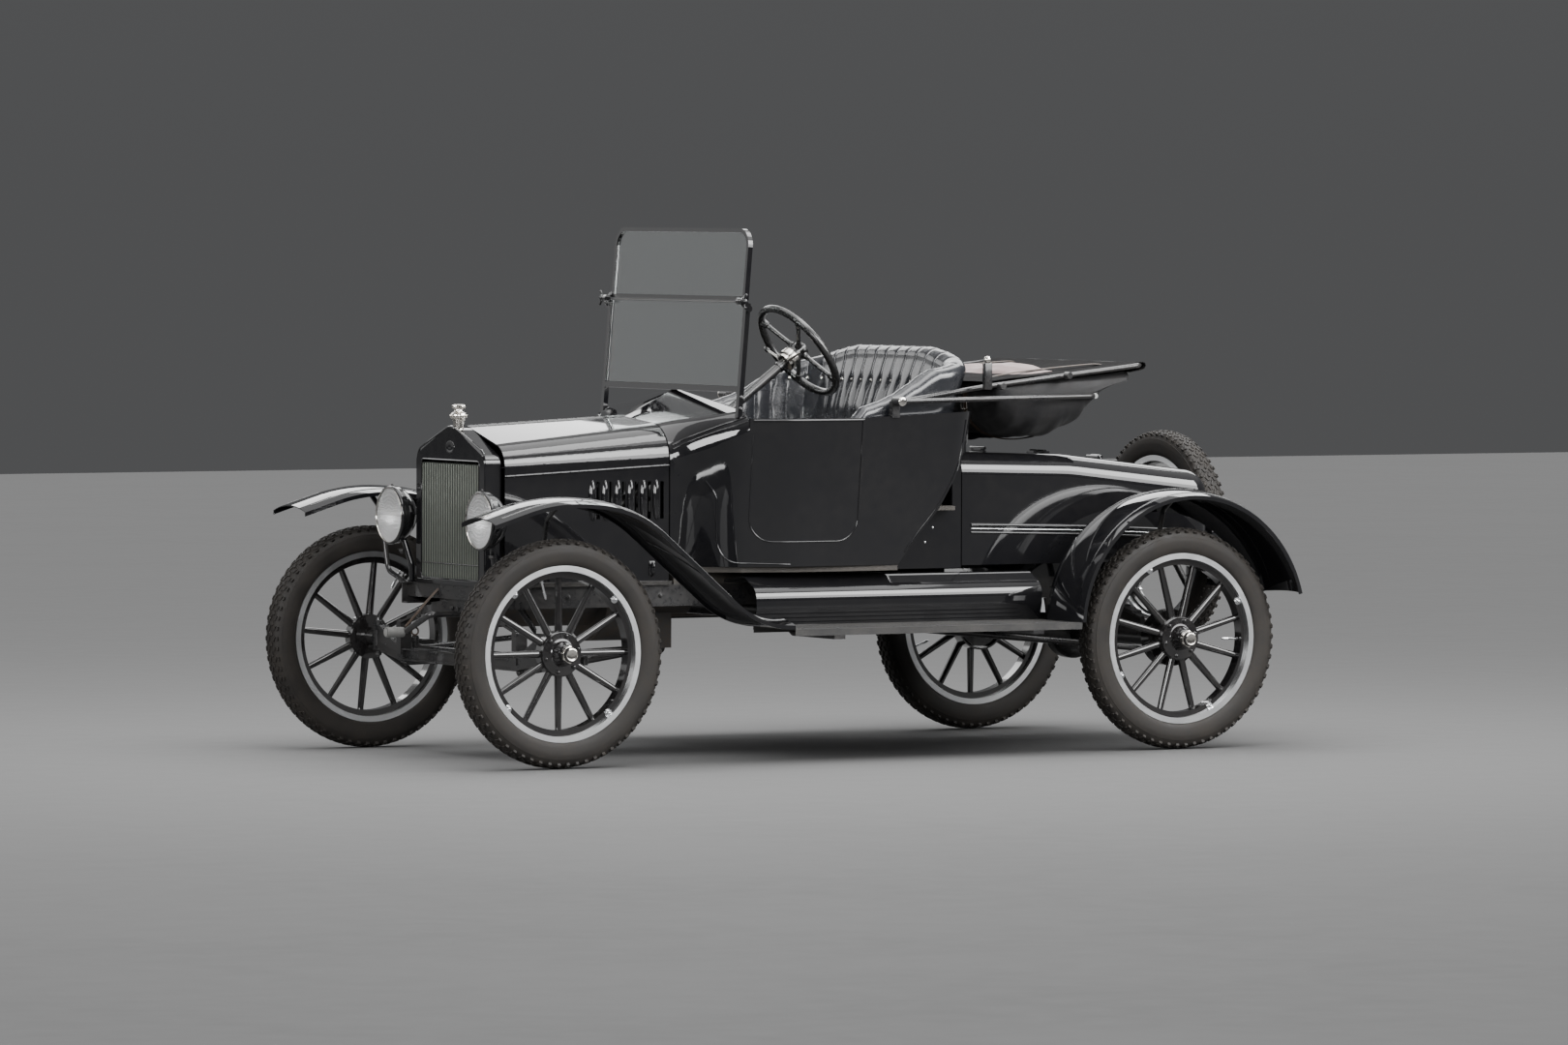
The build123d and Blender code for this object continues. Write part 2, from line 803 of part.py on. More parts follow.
# Steering line: a straight column from the wheel in front of the driver down to the frame
column_y = 225
column_angle = 36.5
wheel_aft = 1245
wheel_height = 1434
column_radius = 17
column_foot = 575
column_slope = tan(radians(column_angle))
down_column = Vector(cos(radians(column_angle)), 0, -sin(radians(column_angle)))
column_top = Vector(at(wheel_aft), column_y, wheel_height)
column_length = (wheel_height - column_foot) / sin(radians(column_angle))
column_end = column_top + down_column * column_length

# Cowl: three sections from the hood's end, flaring to the body, with the firewall at the front
cowl_wall = 20
firewall = 15
cowl_waist_aft = 716
cowl_mid_aft = 794
column_hole = 26
# columns: distance aft, half width at the floor, half width above, corner, top, corner radius
cowl_front = (
    cowl_front_aft,
    hood_rear_half,
    hood_rear_half,
    hood_rear_top - hood_rear_fall,
    hood_rear_top,
    hood_rear_round,
)
cowl_round = 70
# the sections behind: distance aft, then as shares of the body's half width, the belt height and the round:
# half width low and high, height of the shoulder and of the top, round of the shoulder
cowl_shares = (
    (cowl_waist_aft, 0.59667, 0.61333, 0.98085, 1.01915, 1.686),
    (cowl_mid_aft, 0.71333, 0.77667, 0.99750, 1.05246, 1.357),
    (cowl_rear_aft, 0.80667, 0.89667, 1.01415, 1.07993, 1.000),
)
cowl_sections = [cowl_front]
for aft, low, wide, shoulder, top, bend in cowl_shares:
    cowl_sections.append(
        (aft, low * body_half, wide * body_half, shoulder * belt_height, top * belt_height, bend * cowl_round)
    )


def cowl_loft(inset, lower, front_shift):
    # half of the cowl, its surface moved in by the inset
    sections = []
    for aft, low_half, half, corner, top, bend in cowl_sections:
        shift = front_shift if aft == cowl_front_aft else 0
        with BuildSketch(Plane.YZ.offset(at(aft + shift))) as section:
            with BuildLine():
                edge = FilletPolyline(
                    (low_half - inset, floor_top - lower),
                    (half - inset, corner - inset),
                    (0, top - inset),
                    radius=bend - inset,
                )
                Polyline(edge @ 1, (0, floor_top - lower), edge @ 0)
            make_face()
        sections.append(section.sketch)
    return sections


with BuildPart() as cowl:
    loft(cowl_loft(0, 0, 0))
    loft(cowl_loft(cowl_wall, overrun, firewall), mode=Mode.SUBTRACT)
    mirror(about=Plane.XZ)
    rod(column_end, column_top, column_hole, mode=Mode.SUBTRACT)
cowl.part.label = "cowl"
export_step(cowl.part, "parts/cowl.step")

# Body: a tub with thick walls, its lower rear cut away over the rear fender, a real door on the right
tub_wall = 22
tub_tuck = 54
tub_rear_tuck = 46
tub_rear_rise = 20
rail_level_aft = 1296
tub_shoulder_aft = 1010
tub_widest_aft = 1250
tub_corner = 95
tub_rear_half = 582
floor_rear_aft = 1475
tub_top = belt_height + tub_rear_rise
# the lower rear edge above the floor, as shares of the body's rear end and of the tub's top
tail_shares = ((0.86313, 0.63063), (0.91341, 0.71417), (0.94972, 0.80672), (0.96760, 0.87633))
tub_tail = [(floor_rear_aft, floor_top)]
for aft_share, height_share in tail_shares:
    tub_tail.append((aft_share * body_rear_aft, height_share * tub_top))


def tub_half(inset, tuck, rear_tuck, front_extra, height):
    # half of the body's plan at one height
    with BuildSketch(Plane.XY.offset(height)) as plan:
        with BuildLine():
            edge = FilletPolyline(
                (at(cowl_rear_aft - front_extra), cowl_sections[-1][2] - tuck - inset),
                (at(tub_shoulder_aft), body_half - moving_gap - tuck - inset),
                (at(tub_widest_aft), body_half - tuck - inset),
                (at(body_rear_aft - rear_tuck - inset), tub_rear_half - tuck - inset),
                (at(body_rear_aft - rear_tuck - inset), 0),
                radius=[4 * tub_corner, 4 * tub_corner, tub_corner - inset],
            )
            Polyline(edge @ 1, (at(cowl_rear_aft - front_extra), 0), edge @ 0)
        make_face()
    return plan.sketch


tub_slope = tub_tuck / (tub_top - floor_top)

with BuildPart() as tub_blank:
    loft([tub_half(0, tub_tuck, tub_rear_tuck, 0, floor_top), tub_half(0, 0, 0, 0, tub_top)])
    loft(
        [
            tub_half(tub_wall, tub_tuck + tub_slope * overrun, tub_rear_tuck, overrun, floor_top - overrun),
            tub_half(tub_wall, -tub_slope * overrun, 0, overrun, tub_top + overrun),
        ],
        mode=Mode.SUBTRACT,
    )
    with BuildSketch(Plane.XZ):
        with BuildLine():
            Polyline(
                *[(at(aft), height) for aft, height in tub_tail],
                (at(body_rear_aft + overrun), tub_tail[-1][1]),
                (at(body_rear_aft + overrun), floor_top - overrun),
                (at(floor_rear_aft), floor_top - overrun),
                close=True,
            )
        make_face()
        with BuildLine():
            Polyline(
                (at(cowl_rear_aft - overrun), belt_height),
                (at(rail_level_aft), belt_height),
                (at(body_rear_aft), tub_top),
                (at(body_rear_aft), tub_top + overrun),
                (at(cowl_rear_aft - overrun), tub_top + overrun),
                close=True,
            )
        make_face()
    extrude(amount=body_half + overrun, both=True, mode=Mode.SUBTRACT)
    mirror(about=Plane.XZ)

door_front_aft = 872
door_rear_aft = 1250
door_bottom = 712
door_corner = 62
door_gap = 4
door_hinge_out = 20
door_hinge_y = -(cowl_sections[-1][2] + door_hinge_out)
hinge_barrel = 7
hinge_length = 52
hinge_leaf = 4
hinge_shares = (0.9325, 0.6578)
floor_board = 20
riser_wall = 15
riser_top = 880
heel_inset = 150
heel_half = body_half - heel_inset
heel_front_aft = 1753


def door_panel(inset, mode):
    # the door's side view, through the right wall alone
    with BuildSketch(Plane.XZ.offset(body_half / 2)) as panel:
        with BuildLine():
            FilletPolyline(
                (at(door_front_aft + inset), tub_top + overrun),
                (at(door_front_aft + inset), door_bottom + inset),
                (at(door_rear_aft - inset), door_bottom + inset),
                (at(door_rear_aft - inset), tub_top + overrun),
                (at(door_front_aft + inset), tub_top + overrun),
                radius=[0, door_corner, door_corner, 0],
            )
        make_face()
    extrude(panel.sketch, amount=body_half, mode=mode)


with BuildPart() as body_tub:
    add(tub_blank.part)
    with BuildSketch(Plane.XZ.offset(-heel_half)) as heel:
        with BuildLine():
            Polyline(
                (at(floor_rear_aft), floor_top - floor_board),
                (at(body_rear_aft), floor_top - floor_board),
                (at(body_rear_aft), tub_tail[-1][1]),
                (at(heel_front_aft), tub_tail[-1][1]),
                (at(heel_front_aft), riser_top),
                (at(floor_rear_aft), riser_top),
                close=True,
            )
        make_face()
    extrude(heel.sketch, amount=riser_wall)
    mirror(about=Plane.XZ)
    door_panel(0, Mode.SUBTRACT)
    for height in [share * belt_height for share in hinge_shares]:
        rod(
            (at(door_front_aft), door_hinge_y, height),
            (at(door_front_aft), door_hinge_y, height + hinge_length),
            hinge_barrel,
        )
        block(
            (at(door_front_aft + hinge_leaf), at(cowl_rear_aft)),
            (door_hinge_y + 4 * tub_wall, door_hinge_y),
            (height, height + hinge_length),
        )
body_tub.part.label = "body_tub"
export_step(body_tub.part, "parts/body_tub.step")

with BuildPart() as door:
    add(tub_blank.part)
    door_panel(door_gap, Mode.INTERSECT)
    for height in [share * belt_height for share in hinge_shares]:
        barrel_base = height + hinge_length + seat_gap
        rod(
            (at(door_front_aft), door_hinge_y, barrel_base),
            (at(door_front_aft), door_hinge_y, barrel_base + hinge_length / 2),
            hinge_barrel,
        )
        block(
            (at(door_front_aft + 3 * hinge_barrel), at(door_front_aft)),
            (door_hinge_y + 3 * tub_wall, door_hinge_y - hinge_leaf),
            (barrel_base, barrel_base + hinge_length / 2),
        )
door.part.label = "door"
export_step(door.part, "parts/door.step")

# Floor: sills on the frame rails, the floor boards that the body stands on, and the seat riser
floor_inset = 12
riser_front_aft = 1330
riser_rear_aft = 1735
sill_width = 46
riser_half = body_half - tub_tuck - tub_wall - floor_inset

with BuildPart() as floor:
    with BuildSketch(Plane.XY.offset(floor_top - floor_board)):
        with BuildLine():
            Polyline(
                (at(cowl_front_aft), 0),
                (at(cowl_front_aft), cowl_sections[0][1] - floor_inset),
                *[(at(aft), low_half - floor_inset) for aft, low_half, _, _, _, _ in cowl_sections[1:]],
                (at(tub_shoulder_aft), body_half - tub_tuck - moving_gap - 2 * floor_inset),
                (at(tub_widest_aft), body_half - tub_tuck - floor_inset),
                (at(floor_rear_aft), body_half - tub_tuck - floor_inset),
                (at(floor_rear_aft), 0),
                close=True,
            )
        make_face()
    extrude(amount=floor_board)
    block(
        (at(floor_rear_aft), at(cowl_front_aft + firewall)),
        (frame_half - sill_width, frame_half),
        (frame_top, floor_top - floor_board),
    )
    block(
        (at(riser_front_aft + riser_wall), at(riser_front_aft)),
        (0, riser_half - floor_inset),
        (floor_top, riser_top),
    )
    block(
        (at(riser_rear_aft), at(riser_front_aft)),
        (0, riser_half - floor_inset),
        (riser_top - riser_wall, riser_top),
    )
    mirror(about=Plane.XZ)
    add(body_tub.part, mode=Mode.SUBTRACT)
floor.part.label = "floor"
export_step(floor.part, "parts/floor.step")

# Seat: a cushion on the riser and a back that wraps round into the two arm rolls
cushion_front_aft = 1290
cushion_rear_aft = 1649
cushion_inset = 145
cushion_half = body_half - cushion_inset
cushion_height = 145
cushion_round = 45
cushion_corner = 62
back_top = 1459
back_thickness = 85
back_front_aft = 1655
arm_top = 1245
arm_front_aft = 1285
arm_thickness = 68
arm_toe = 14
seat_bend = 190
seat_foot_aft = 1735
seat_foot_inset = 60
seat_belt_aft = 1764
seat_belt_inset = 29
seat_top_aft = 1845
seat_top_inset = 8
seat_arch_out = 40
seat_arch_half = body_half + seat_arch_out
seat_arch_fall = 170
seat_sweep = 90
# columns: height, rear face aft, outer half width
seat_levels = (
    (riser_top + seat_gap, seat_foot_aft, body_half - seat_foot_inset),
    (tub_top, seat_belt_aft, body_half - seat_belt_inset),
    (back_top, seat_top_aft, body_half - seat_top_inset),
)

with BuildPart() as seat_cushion:
    block(
        (at(cushion_rear_aft), at(cushion_front_aft)),
        (-cushion_half, cushion_half),
        (riser_top + seat_gap, riser_top + cushion_height),
    )
    fillet(seat_cushion.edges().filter_by(Axis.Z).group_by(Axis.X)[0], radius=seat_bend - arm_thickness)
    fillet(seat_cushion.edges().filter_by(Axis.Z).group_by(Axis.X)[-1], radius=cushion_corner)
    fillet(seat_cushion.edges().group_by(Axis.Z)[-1], radius=cushion_round)
seat_cushion.part.label = "seat_cushion"
export_step(seat_cushion.part, "parts/seat_cushion.step")


def seat_plan(height, rear_aft, half):
    # half of the horseshoe in plan: the back across the car, then round into the arm
    with BuildSketch(Plane.XY.offset(height)) as plan:
        with BuildLine():
            outside = FilletPolyline(
                (at(rear_aft), 0), (at(rear_aft), half - arm_toe), (at(arm_front_aft), half), radius=seat_bend
            )
            inside = FilletPolyline(
                (at(rear_aft - back_thickness), 0),
                (at(rear_aft - back_thickness), half - arm_toe - arm_thickness),
                (at(arm_front_aft), half - arm_thickness),
                radius=seat_bend - arm_thickness,
            )
            Line(outside @ 0, inside @ 0)
            Line(outside @ 1, inside @ 1)
        make_face()
    return plan.sketch


with BuildPart() as seat_back:
    levels = [seat_plan(*level) for level in seat_levels]
    loft(levels[:2])
    loft(levels[1:])
    with BuildSketch(Plane.XZ):
        with BuildLine():
            Polyline(
                (at(arm_front_aft - overrun), arm_top - cushion_round),
                (at(arm_front_aft + cushion_round), arm_top),
                (at(back_front_aft - seat_bend), arm_top + cushion_round),
                (at(back_front_aft - seat_sweep), arm_top + 2 * cushion_round),
                (at(back_front_aft + cushion_round), back_top - 2 * cushion_round),
                (at(back_front_aft + seat_sweep), back_top - cushion_round / 2),
                (at(back_front_aft + 2 * seat_sweep), back_top + cushion_round / 2),
                (at(arm_front_aft - overrun), back_top + overrun),
                close=True,
            )
        make_face()
    extrude(amount=body_half + overrun, both=True, mode=Mode.SUBTRACT)
    with BuildSketch(Plane.YZ.offset(at(back_front_aft + 3 * seat_bend))) as shoulders:
        with BuildLine():
            arch_foot = back_top - seat_arch_fall
            arch = EllipticalCenterArc((0, arch_foot), seat_arch_half, seat_arch_fall, arc_size=90)
            Polyline(
                arch @ 0,
                (seat_arch_half + overrun, arch_foot),
                (seat_arch_half + overrun, back_top + overrun),
                (0, back_top + overrun),
                arch @ 1,
            )
        make_face()
    extrude(shoulders.sketch, amount=4 * seat_bend, mode=Mode.SUBTRACT)
    mirror(about=Plane.XZ)
seat_back.part.label = "seat_back"
export_step(seat_back.part, "parts/seat_back.step")

# Deck: the rounded rear box with its sills on the frame, and the lid hinged at its front edge
deck_inset = 150
deck_half = body_half - deck_inset
deck_bottom = 665
deck_wall = 16
deck_round = 95
deck_edge_round = 80
deck_front_aft = body_rear_aft + sheet
# the top line: distance aft, height
deck_front_height = 1070
deck_break_lead = 617
deck_break_height = 1057
deck_fall_lead = 207
deck_fall_height = 1009
deck_tail_height = 985
deck_profile = (
    (deck_front_aft, deck_front_height),
    (deck_rear_aft - deck_break_lead, deck_break_height),
    (deck_rear_aft - deck_fall_lead, deck_fall_height),
    (deck_rear_aft, deck_tail_height),
)
lid_front_lead = 607
lid_rear_lead = 144
lid_inset = 120
lid_front_aft = deck_rear_aft - lid_front_lead
lid_rear_aft = deck_rear_aft - lid_rear_lead
lid_half = deck_half - lid_inset
lid_gap = 4
mid_share = 0.5
level_share = 0.1
lid_hinge_y = 210
lid_barrel = 6
lid_barrel_length = 50
hinge_x = at(lid_front_aft)
hinge_z = deck_profile[1][1] + lid_barrel


def deck_solid(inset):
    # the closed box, its surface moved in by the inset
    top_line = [(at(aft), height - inset) for aft, height in deck_profile]
    with BuildSketch(Plane.XZ.offset(inset - deck_half)) as side_view:
        with BuildLine():
            FilletPolyline(
                (at(deck_front_aft + inset), deck_bottom + inset),
                (at(deck_front_aft + inset), deck_profile[0][1] - inset),
                *top_line[1:-1],
                (at(deck_rear_aft - inset), deck_profile[-1][1] - inset),
                (at(deck_rear_aft - inset), deck_bottom + inset),
                (at(deck_front_aft + inset), deck_bottom + inset),
                radius=[0, 0, 8 * deck_round, 8 * deck_round, deck_round - inset, 0],
            )
        make_face()
    with BuildPart() as solid:
        extrude(side_view.sketch, amount=2 * (deck_half - inset))
        crest = solid.edges().filter_by(lambda edge: edge.center().Z > deck_bottom + 2 * inset + overrun)
        crest = crest.filter_by(lambda edge: abs(abs(edge.center().Y) - (deck_half - inset)) < seat_gap)
        crest = crest.filter_by(
            lambda edge: abs(edge.tangent_at(mid_share).X) > level_share or edge.geom_type == GeomType.CIRCLE
        )
        fillet(crest, radius=deck_edge_round - inset)
    return solid.part


def lid_hinge(y_range, leaf_x):
    # one pair of barrels above the skin, with the leaves that carry them
    low, high = y_range
    for side in (1, -1):
        rod((hinge_x, side * low, hinge_z), (hinge_x, side * high, hinge_z), lid_barrel)
        block((hinge_x, leaf_x), (side * low, side * high), (hinge_z - 2 * lid_barrel, hinge_z))


def lid_region(inset, mode):
    with BuildSketch(Plane.XY.offset(deck_profile[2][1] - 2 * deck_wall)) as plan:
        with Locations((at((lid_front_aft + lid_rear_aft) / 2), 0)):
            RectangleRounded(lid_rear_aft - lid_front_aft - 2 * inset, 2 * (lid_half - inset), deck_wall)
    extrude(plan.sketch, amount=deck_round, mode=mode)


deck_blank = deck_solid(0) - deck_solid(deck_wall)

with BuildPart() as deck:
    add(deck_blank)
    lid_region(0, Mode.SUBTRACT)
    for side in (1, -1):
        block(
            (at(wheelbase + frame_tail), at(deck_front_aft)),
            (side * frame_half, side * (frame_half - sill_width)),
            (frame_top, deck_bottom),
        )
    lid_hinge((lid_hinge_y - lid_barrel_length, lid_hinge_y), hinge_x + 3 * lid_barrel)
deck.part.label = "deck"
export_step(deck.part, "parts/deck.step")

with BuildPart() as deck_lid:
    add(deck_blank)
    lid_region(lid_gap, Mode.INTERSECT)
    handle_x = at(lid_rear_aft - 2 * deck_round / 2)
    handle_z = deck_profile[2][1] + lid_barrel
    bent_rod(
        (
            (handle_x, -lid_barrel_length, handle_z - 2 * lid_barrel),
            (handle_x, -lid_barrel_length, handle_z + 3 * lid_barrel),
            (handle_x, lid_barrel_length, handle_z + 3 * lid_barrel),
            (handle_x, lid_barrel_length, handle_z - 2 * lid_barrel),
        ),
        lid_barrel,
        2 * lid_barrel,
    )
    lid_hinge((lid_hinge_y + seat_gap, lid_hinge_y + lid_barrel_length), hinge_x - 3 * lid_barrel)
deck_lid.part.label = "deck_lid"
export_step(deck_lid.part, "parts/deck_lid.step")


# Wheels: wooden spokes and felloe on a flanged hub, a steel rim and a tyre
hub_barrel = 33
hub_flange = 76
hub_flange_thickness = 8
hub_inner = 38
hub_outer = 78
hubcap_radius = 27
hubcap_reach = 100
spoke_count = 12
spoke_root = 14
spoke_tip = 11
spoke_disc = 80
spoke_disc_half = 18
felloe_inner = 265
felloe_outer = 287
felloe_half = 22
rim_half = 38
rim_wall = 4
drum_radius = 102
drum_wall = 6
drum_depth = 76


def ring(plane, axis, radii, reach, mode=Mode.ADD):
    # a turned ring between two radii, from one reach to the other along its axis
    with BuildSketch(plane) as section:
        with BuildLine():
            (near, far), (inner, outer) = reach, radii
            Polyline((near, inner), (far, inner), (far, outer), (near, outer), close=True)
        make_face()
    revolve(section.sketch, axis=axis, mode=mode)


def wheel(name, plane, axis, driven, first_spoke):
    centre = plane.origin
    bore = stub_radius + fit
    with BuildPart() as spoked:
        for index in range(spoke_count):
            turn = radians(first_spoke + 360 / spoke_count * index)
            ray = plane.y_dir * cos(turn) + plane.z_dir * sin(turn)
            rod(centre + ray * hub_flange, centre + ray * (felloe_inner + rim_wall), spoke_root, spoke_tip)
        ring(plane, axis, (felloe_inner, felloe_outer), (-felloe_half, felloe_half))
        ring(plane, axis, (bore, spoke_disc), (-spoke_disc_half, spoke_disc_half))
        for near in (-spoke_disc_half - hub_flange_thickness, spoke_disc_half):
            ring(plane, axis, (bore, hub_flange), (near, near + hub_flange_thickness))
        ring(plane, axis, (bore, hub_barrel), (-hub_inner, hub_outer))
        ring(plane, axis, (0, hubcap_radius), (hub_outer - rim_wall, hubcap_reach))
        if driven:
            back = -spoke_disc_half - hub_flange_thickness
            ring(plane, axis, (hub_barrel, drum_radius), (back - drum_wall, back))
            ring(plane, axis, (drum_radius - drum_wall, drum_radius), (-drum_depth, back))
    spoked.part.label = f"wheel_{name}"
    export_step(spoked.part, f"parts/wheel_{name}.step")


def rim(name, plane, axis):
    with BuildPart() as steel:
        ring(plane, axis, (felloe_outer, felloe_outer + rim_wall), (-rim_half, rim_half))
        for near in (-rim_half, rim_half - rim_wall):
            ring(plane, axis, (felloe_outer, rim_radius), (near, near + rim_wall))
    steel.part.label = f"rim_{name}"
    export_step(steel.part, f"parts/rim_{name}.step")


def tyre(name, plane, axis):
    bead_half = rim_half - rim_wall - seat_gap
    bead_radius = felloe_outer + rim_wall + seat_gap
    crown_radius = tyre_section / 2
    with BuildPart() as rubber:
        with BuildSketch(plane) as section:
            with Locations((0, tyre_radius - crown_radius)):
                Circle(crown_radius)
            with Locations((0, (bead_radius + rim_radius + crown_radius / 4) / 2)):
                Rectangle(2 * bead_half, rim_radius + crown_radius / 4 - bead_radius)
            with Locations((0, bead_radius / 2)):
                Rectangle(tyre_section, bead_radius, mode=Mode.SUBTRACT)
            for side in (1, -1):
                with Locations((side * (bead_half + rim_wall), (bead_radius + rim_radius + seat_gap) / 2)):
                    Rectangle(2 * rim_wall, rim_radius + seat_gap - bead_radius, mode=Mode.SUBTRACT)
        revolve(section.sketch, axis=axis)
    rubber.part.label = f"tyre_{name}"
    export_step(rubber.part, f"parts/tyre_{name}.step")


# columns: name, distance aft, side, driven, angle of the first spoke
wheel_places = (
    ("front_left", 0, 1, False, 0),
    ("front_right", 0, -1, False, 6),
    ("rear_left", wheelbase, 1, True, 15),
    ("rear_right", wheelbase, -1, True, 0),
)
for name, aft, side, driven, first_spoke in wheel_places:
    hub_centre = (at(aft), side * wheel_half, axle_height)
    wheel_plane = Plane(origin=hub_centre, x_dir=(0, side, 0), z_dir=(side, 0, 0))
    wheel_axis = Axis(hub_centre, (0, 1, 0))
    wheel(name, wheel_plane, wheel_axis, driven, first_spoke)
    rim(name, wheel_plane, wheel_axis)
    tyre(name, wheel_plane, wheel_axis)

# Spare: the same rim and tyre upright behind the deck, on a three-armed carrier
spare_stand = 66
spare_aft = deck_rear_aft + spare_stand
spare_height = 728
carrier_arm = 26
carrier_plate = 8
spare_centre = (at(spare_aft), 0, spare_height)
spare_plane = Plane(origin=spare_centre, x_dir=(-1, 0, 0), z_dir=(0, 1, 0))
spare_axis = Axis(spare_centre, (1, 0, 0))
rim("spare", spare_plane, spare_axis)
tyre("spare", spare_plane, spare_axis)

with BuildPart() as spare_carrier:
    for arm in range(4):
        turn = radians(90 * arm + 45)
        ray = Vector(0, cos(turn), sin(turn))
        tip = Vector(*spare_centre) + ray * (felloe_outer - seat_gap)
        rod(Vector(*spare_centre), tip, carrier_arm / 2)
    rod(spare_centre, (at(deck_rear_aft), 0, spare_height), 2 * carrier_arm)
    ring(spare_plane, spare_axis, (felloe_outer - carrier_plate, felloe_outer), (-rim_half / 2, rim_half / 2))
spare_carrier.part.label = "spare_carrier"
export_step(spare_carrier.part, "parts/spare_carrier.step")

# Knuckles: kingpin, spindle and a steering arm straight back to the tie rod
arm_length = 150
arm_half = 9
arm_low = 380
arm_high = 396
eye_radius = 14
pin_radius = 6
loose_fit = 0.5
spindle_shoulder = 26
kingpin_head = 8


def knuckle(hand, side):
    pin_y = side * kingpin_y
    hub_y = side * (wheel_half - hub_inner - turning_gap)
    with BuildPart() as forging:
        rod(
            (at(0), pin_y, axle_height - yoke_gap_half + seat_gap),
            (at(0), pin_y, axle_height + yoke_gap_half - seat_gap),
            yoke_radius,
        )
        rod(
            (at(0), pin_y, axle_height - lug_reach - kingpin_head),
            (at(0), pin_y, axle_height + lug_reach + seat_gap),
            kingpin_radius,
        )
        rod(
            (at(0), pin_y, axle_height + lug_reach + seat_gap),
            (at(0), pin_y, axle_height + lug_reach + kingpin_head),
            kingpin_radius + kingpin_head / 2,
        )
        rod((at(0), pin_y, axle_height), (at(0), hub_y, axle_height), spindle_shoulder)
        rod((at(0), pin_y, axle_height), (at(0), side * (wheel_half + stub_reach), axle_height), stub_radius)
        block((at(arm_length), at(0)), (pin_y - arm_half, pin_y + arm_half), (arm_low, arm_high))
        rod((at(arm_length), pin_y, arm_low), (at(arm_length), pin_y, arm_high), eye_radius)
        hole = pin_radius + (fit if side > 0 else loose_fit)
        rod(
            (at(arm_length), pin_y, arm_low - overrun),
            (at(arm_length), pin_y, arm_high + overrun),
            hole,
            mode=Mode.SUBTRACT,
        )
    forging.part.label = f"knuckle_{hand}"
    export_step(forging.part, f"parts/knuckle_{hand}.step")


knuckle("left", 1)
knuckle("right", -1)

# Tie rod between the two arms, with the drag link that the pitman arm pushes
tie_radius = 10
tie_height = 362
pitman_length = 150
pitman_pin = 6
arm_root_share = 0.8
arm_tip_share = 1.5
link_ring = 35
link_ring_inner = 27
link_right_y = -560
across_column = Vector(-sin(radians(column_angle)), 0, -cos(radians(column_angle)))
pitman_ball = column_end + across_column * pitman_length
link_top = pitman_ball.Z - 2 * pitman_pin

with BuildPart() as tie_rod:
    rod((at(arm_length), -kingpin_y, tie_height), (at(arm_length), kingpin_y, tie_height), tie_radius)
    for side in (1, -1):
        pin_place = (at(arm_length), side * kingpin_y)
        rod((*pin_place, tie_height - tie_radius), (*pin_place, arm_low - seat_gap), eye_radius)
        rod((*pin_place, tie_height), (*pin_place, arm_high + seat_gap), pin_radius)
        rod((*pin_place, arm_high + seat_gap), (*pin_place, arm_high + pin_radius), 2 * pin_radius)
    rod(
        (pitman_ball.X, column_y - link_ring_inner, link_top - pitman_pin),
        (at(arm_length), link_right_y, tie_height),
        tie_radius,
    )
    rod(
        (pitman_ball.X, column_y, link_top - 2 * pitman_pin),
        (pitman_ball.X, column_y, link_top),
        link_ring,
    )
    rod(
        (pitman_ball.X, column_y, link_top - 4 * pitman_pin - overrun),
        (pitman_ball.X, column_y, link_top + overrun),
        link_ring_inner,
        mode=Mode.SUBTRACT,
    )
tie_rod.part.label = "tie_rod"
export_step(tie_rod.part, "parts/tie_rod.step")

# Steering column: tube, its bracket on the frame rail, gear case and two levers
gear_case_radius = 36
gear_case_length = 46
shaft_radius = 9
lever_radius = 4
lever_length = 130
wheel_hub_length = 24
bracket_plate = 12
bracket_reach = 34
arm_root = 26
shaft_stub = 12
up_column = down_column * -1
case_base = column_top + down_column * (gear_case_length + wheel_hub_length)
pitman_top = column_end + up_column * arm_root

with BuildPart() as steering_column:
    rod(pitman_top + up_column * seat_gap, case_base, column_radius)
    rod(case_base, case_base + up_column * gear_case_length, gear_case_radius)
    rod(case_base, column_top + up_column * shaft_stub, shaft_radius)
    for side in (1, -1):
        rod(case_base, case_base + Vector(0, side * lever_length, lever_length / 3), lever_radius)
    with BuildSketch(Plane.XY.offset(frame_top - bracket_plate)) as bracket_plan:
        bracket_x = column_top.X + (wheel_height - frame_top) / column_slope
        with Locations((bracket_x, (rail_inner + column_y - bracket_reach) / 2)):
            Rectangle(2 * bracket_reach, rail_inner - column_y + bracket_reach)
    extrude(bracket_plan.sketch, amount=bracket_plate)
steering_column.part.label = "steering_column"
export_step(steering_column.part, "parts/steering_column.step")

steer_radius = 186
steer_section = 14
steer_spoke = 8
steer_spokes = 4
hub_share = 0.8
steer_plane = Plane(origin=column_top, x_dir=(0, 1, 0), z_dir=up_column)

with BuildPart() as steering_wheel:
    with Locations(steer_plane):
        Torus(steer_radius, steer_section)
    hub_base = column_top + down_column * (wheel_hub_length - turning_gap)
    hub_cap = shaft_stub + steer_spoke
    rod(hub_base, column_top + up_column * hub_cap, gear_case_radius * hub_share)
    for spoke in range(steer_spokes):
        turn = radians(360 / steer_spokes * spoke + 45)
        ray = steer_plane.x_dir * cos(turn) + steer_plane.y_dir * sin(turn)
        rod(column_top, column_top + ray * steer_radius, steer_spoke)
    rod(
        column_top + down_column * 2 * wheel_hub_length,
        column_top + up_column * (shaft_stub + seat_gap),
        shaft_radius + fit,
        mode=Mode.SUBTRACT,
    )
steering_wheel.part.label = "steering_wheel"
export_step(steering_wheel.part, "parts/steering_wheel.step")

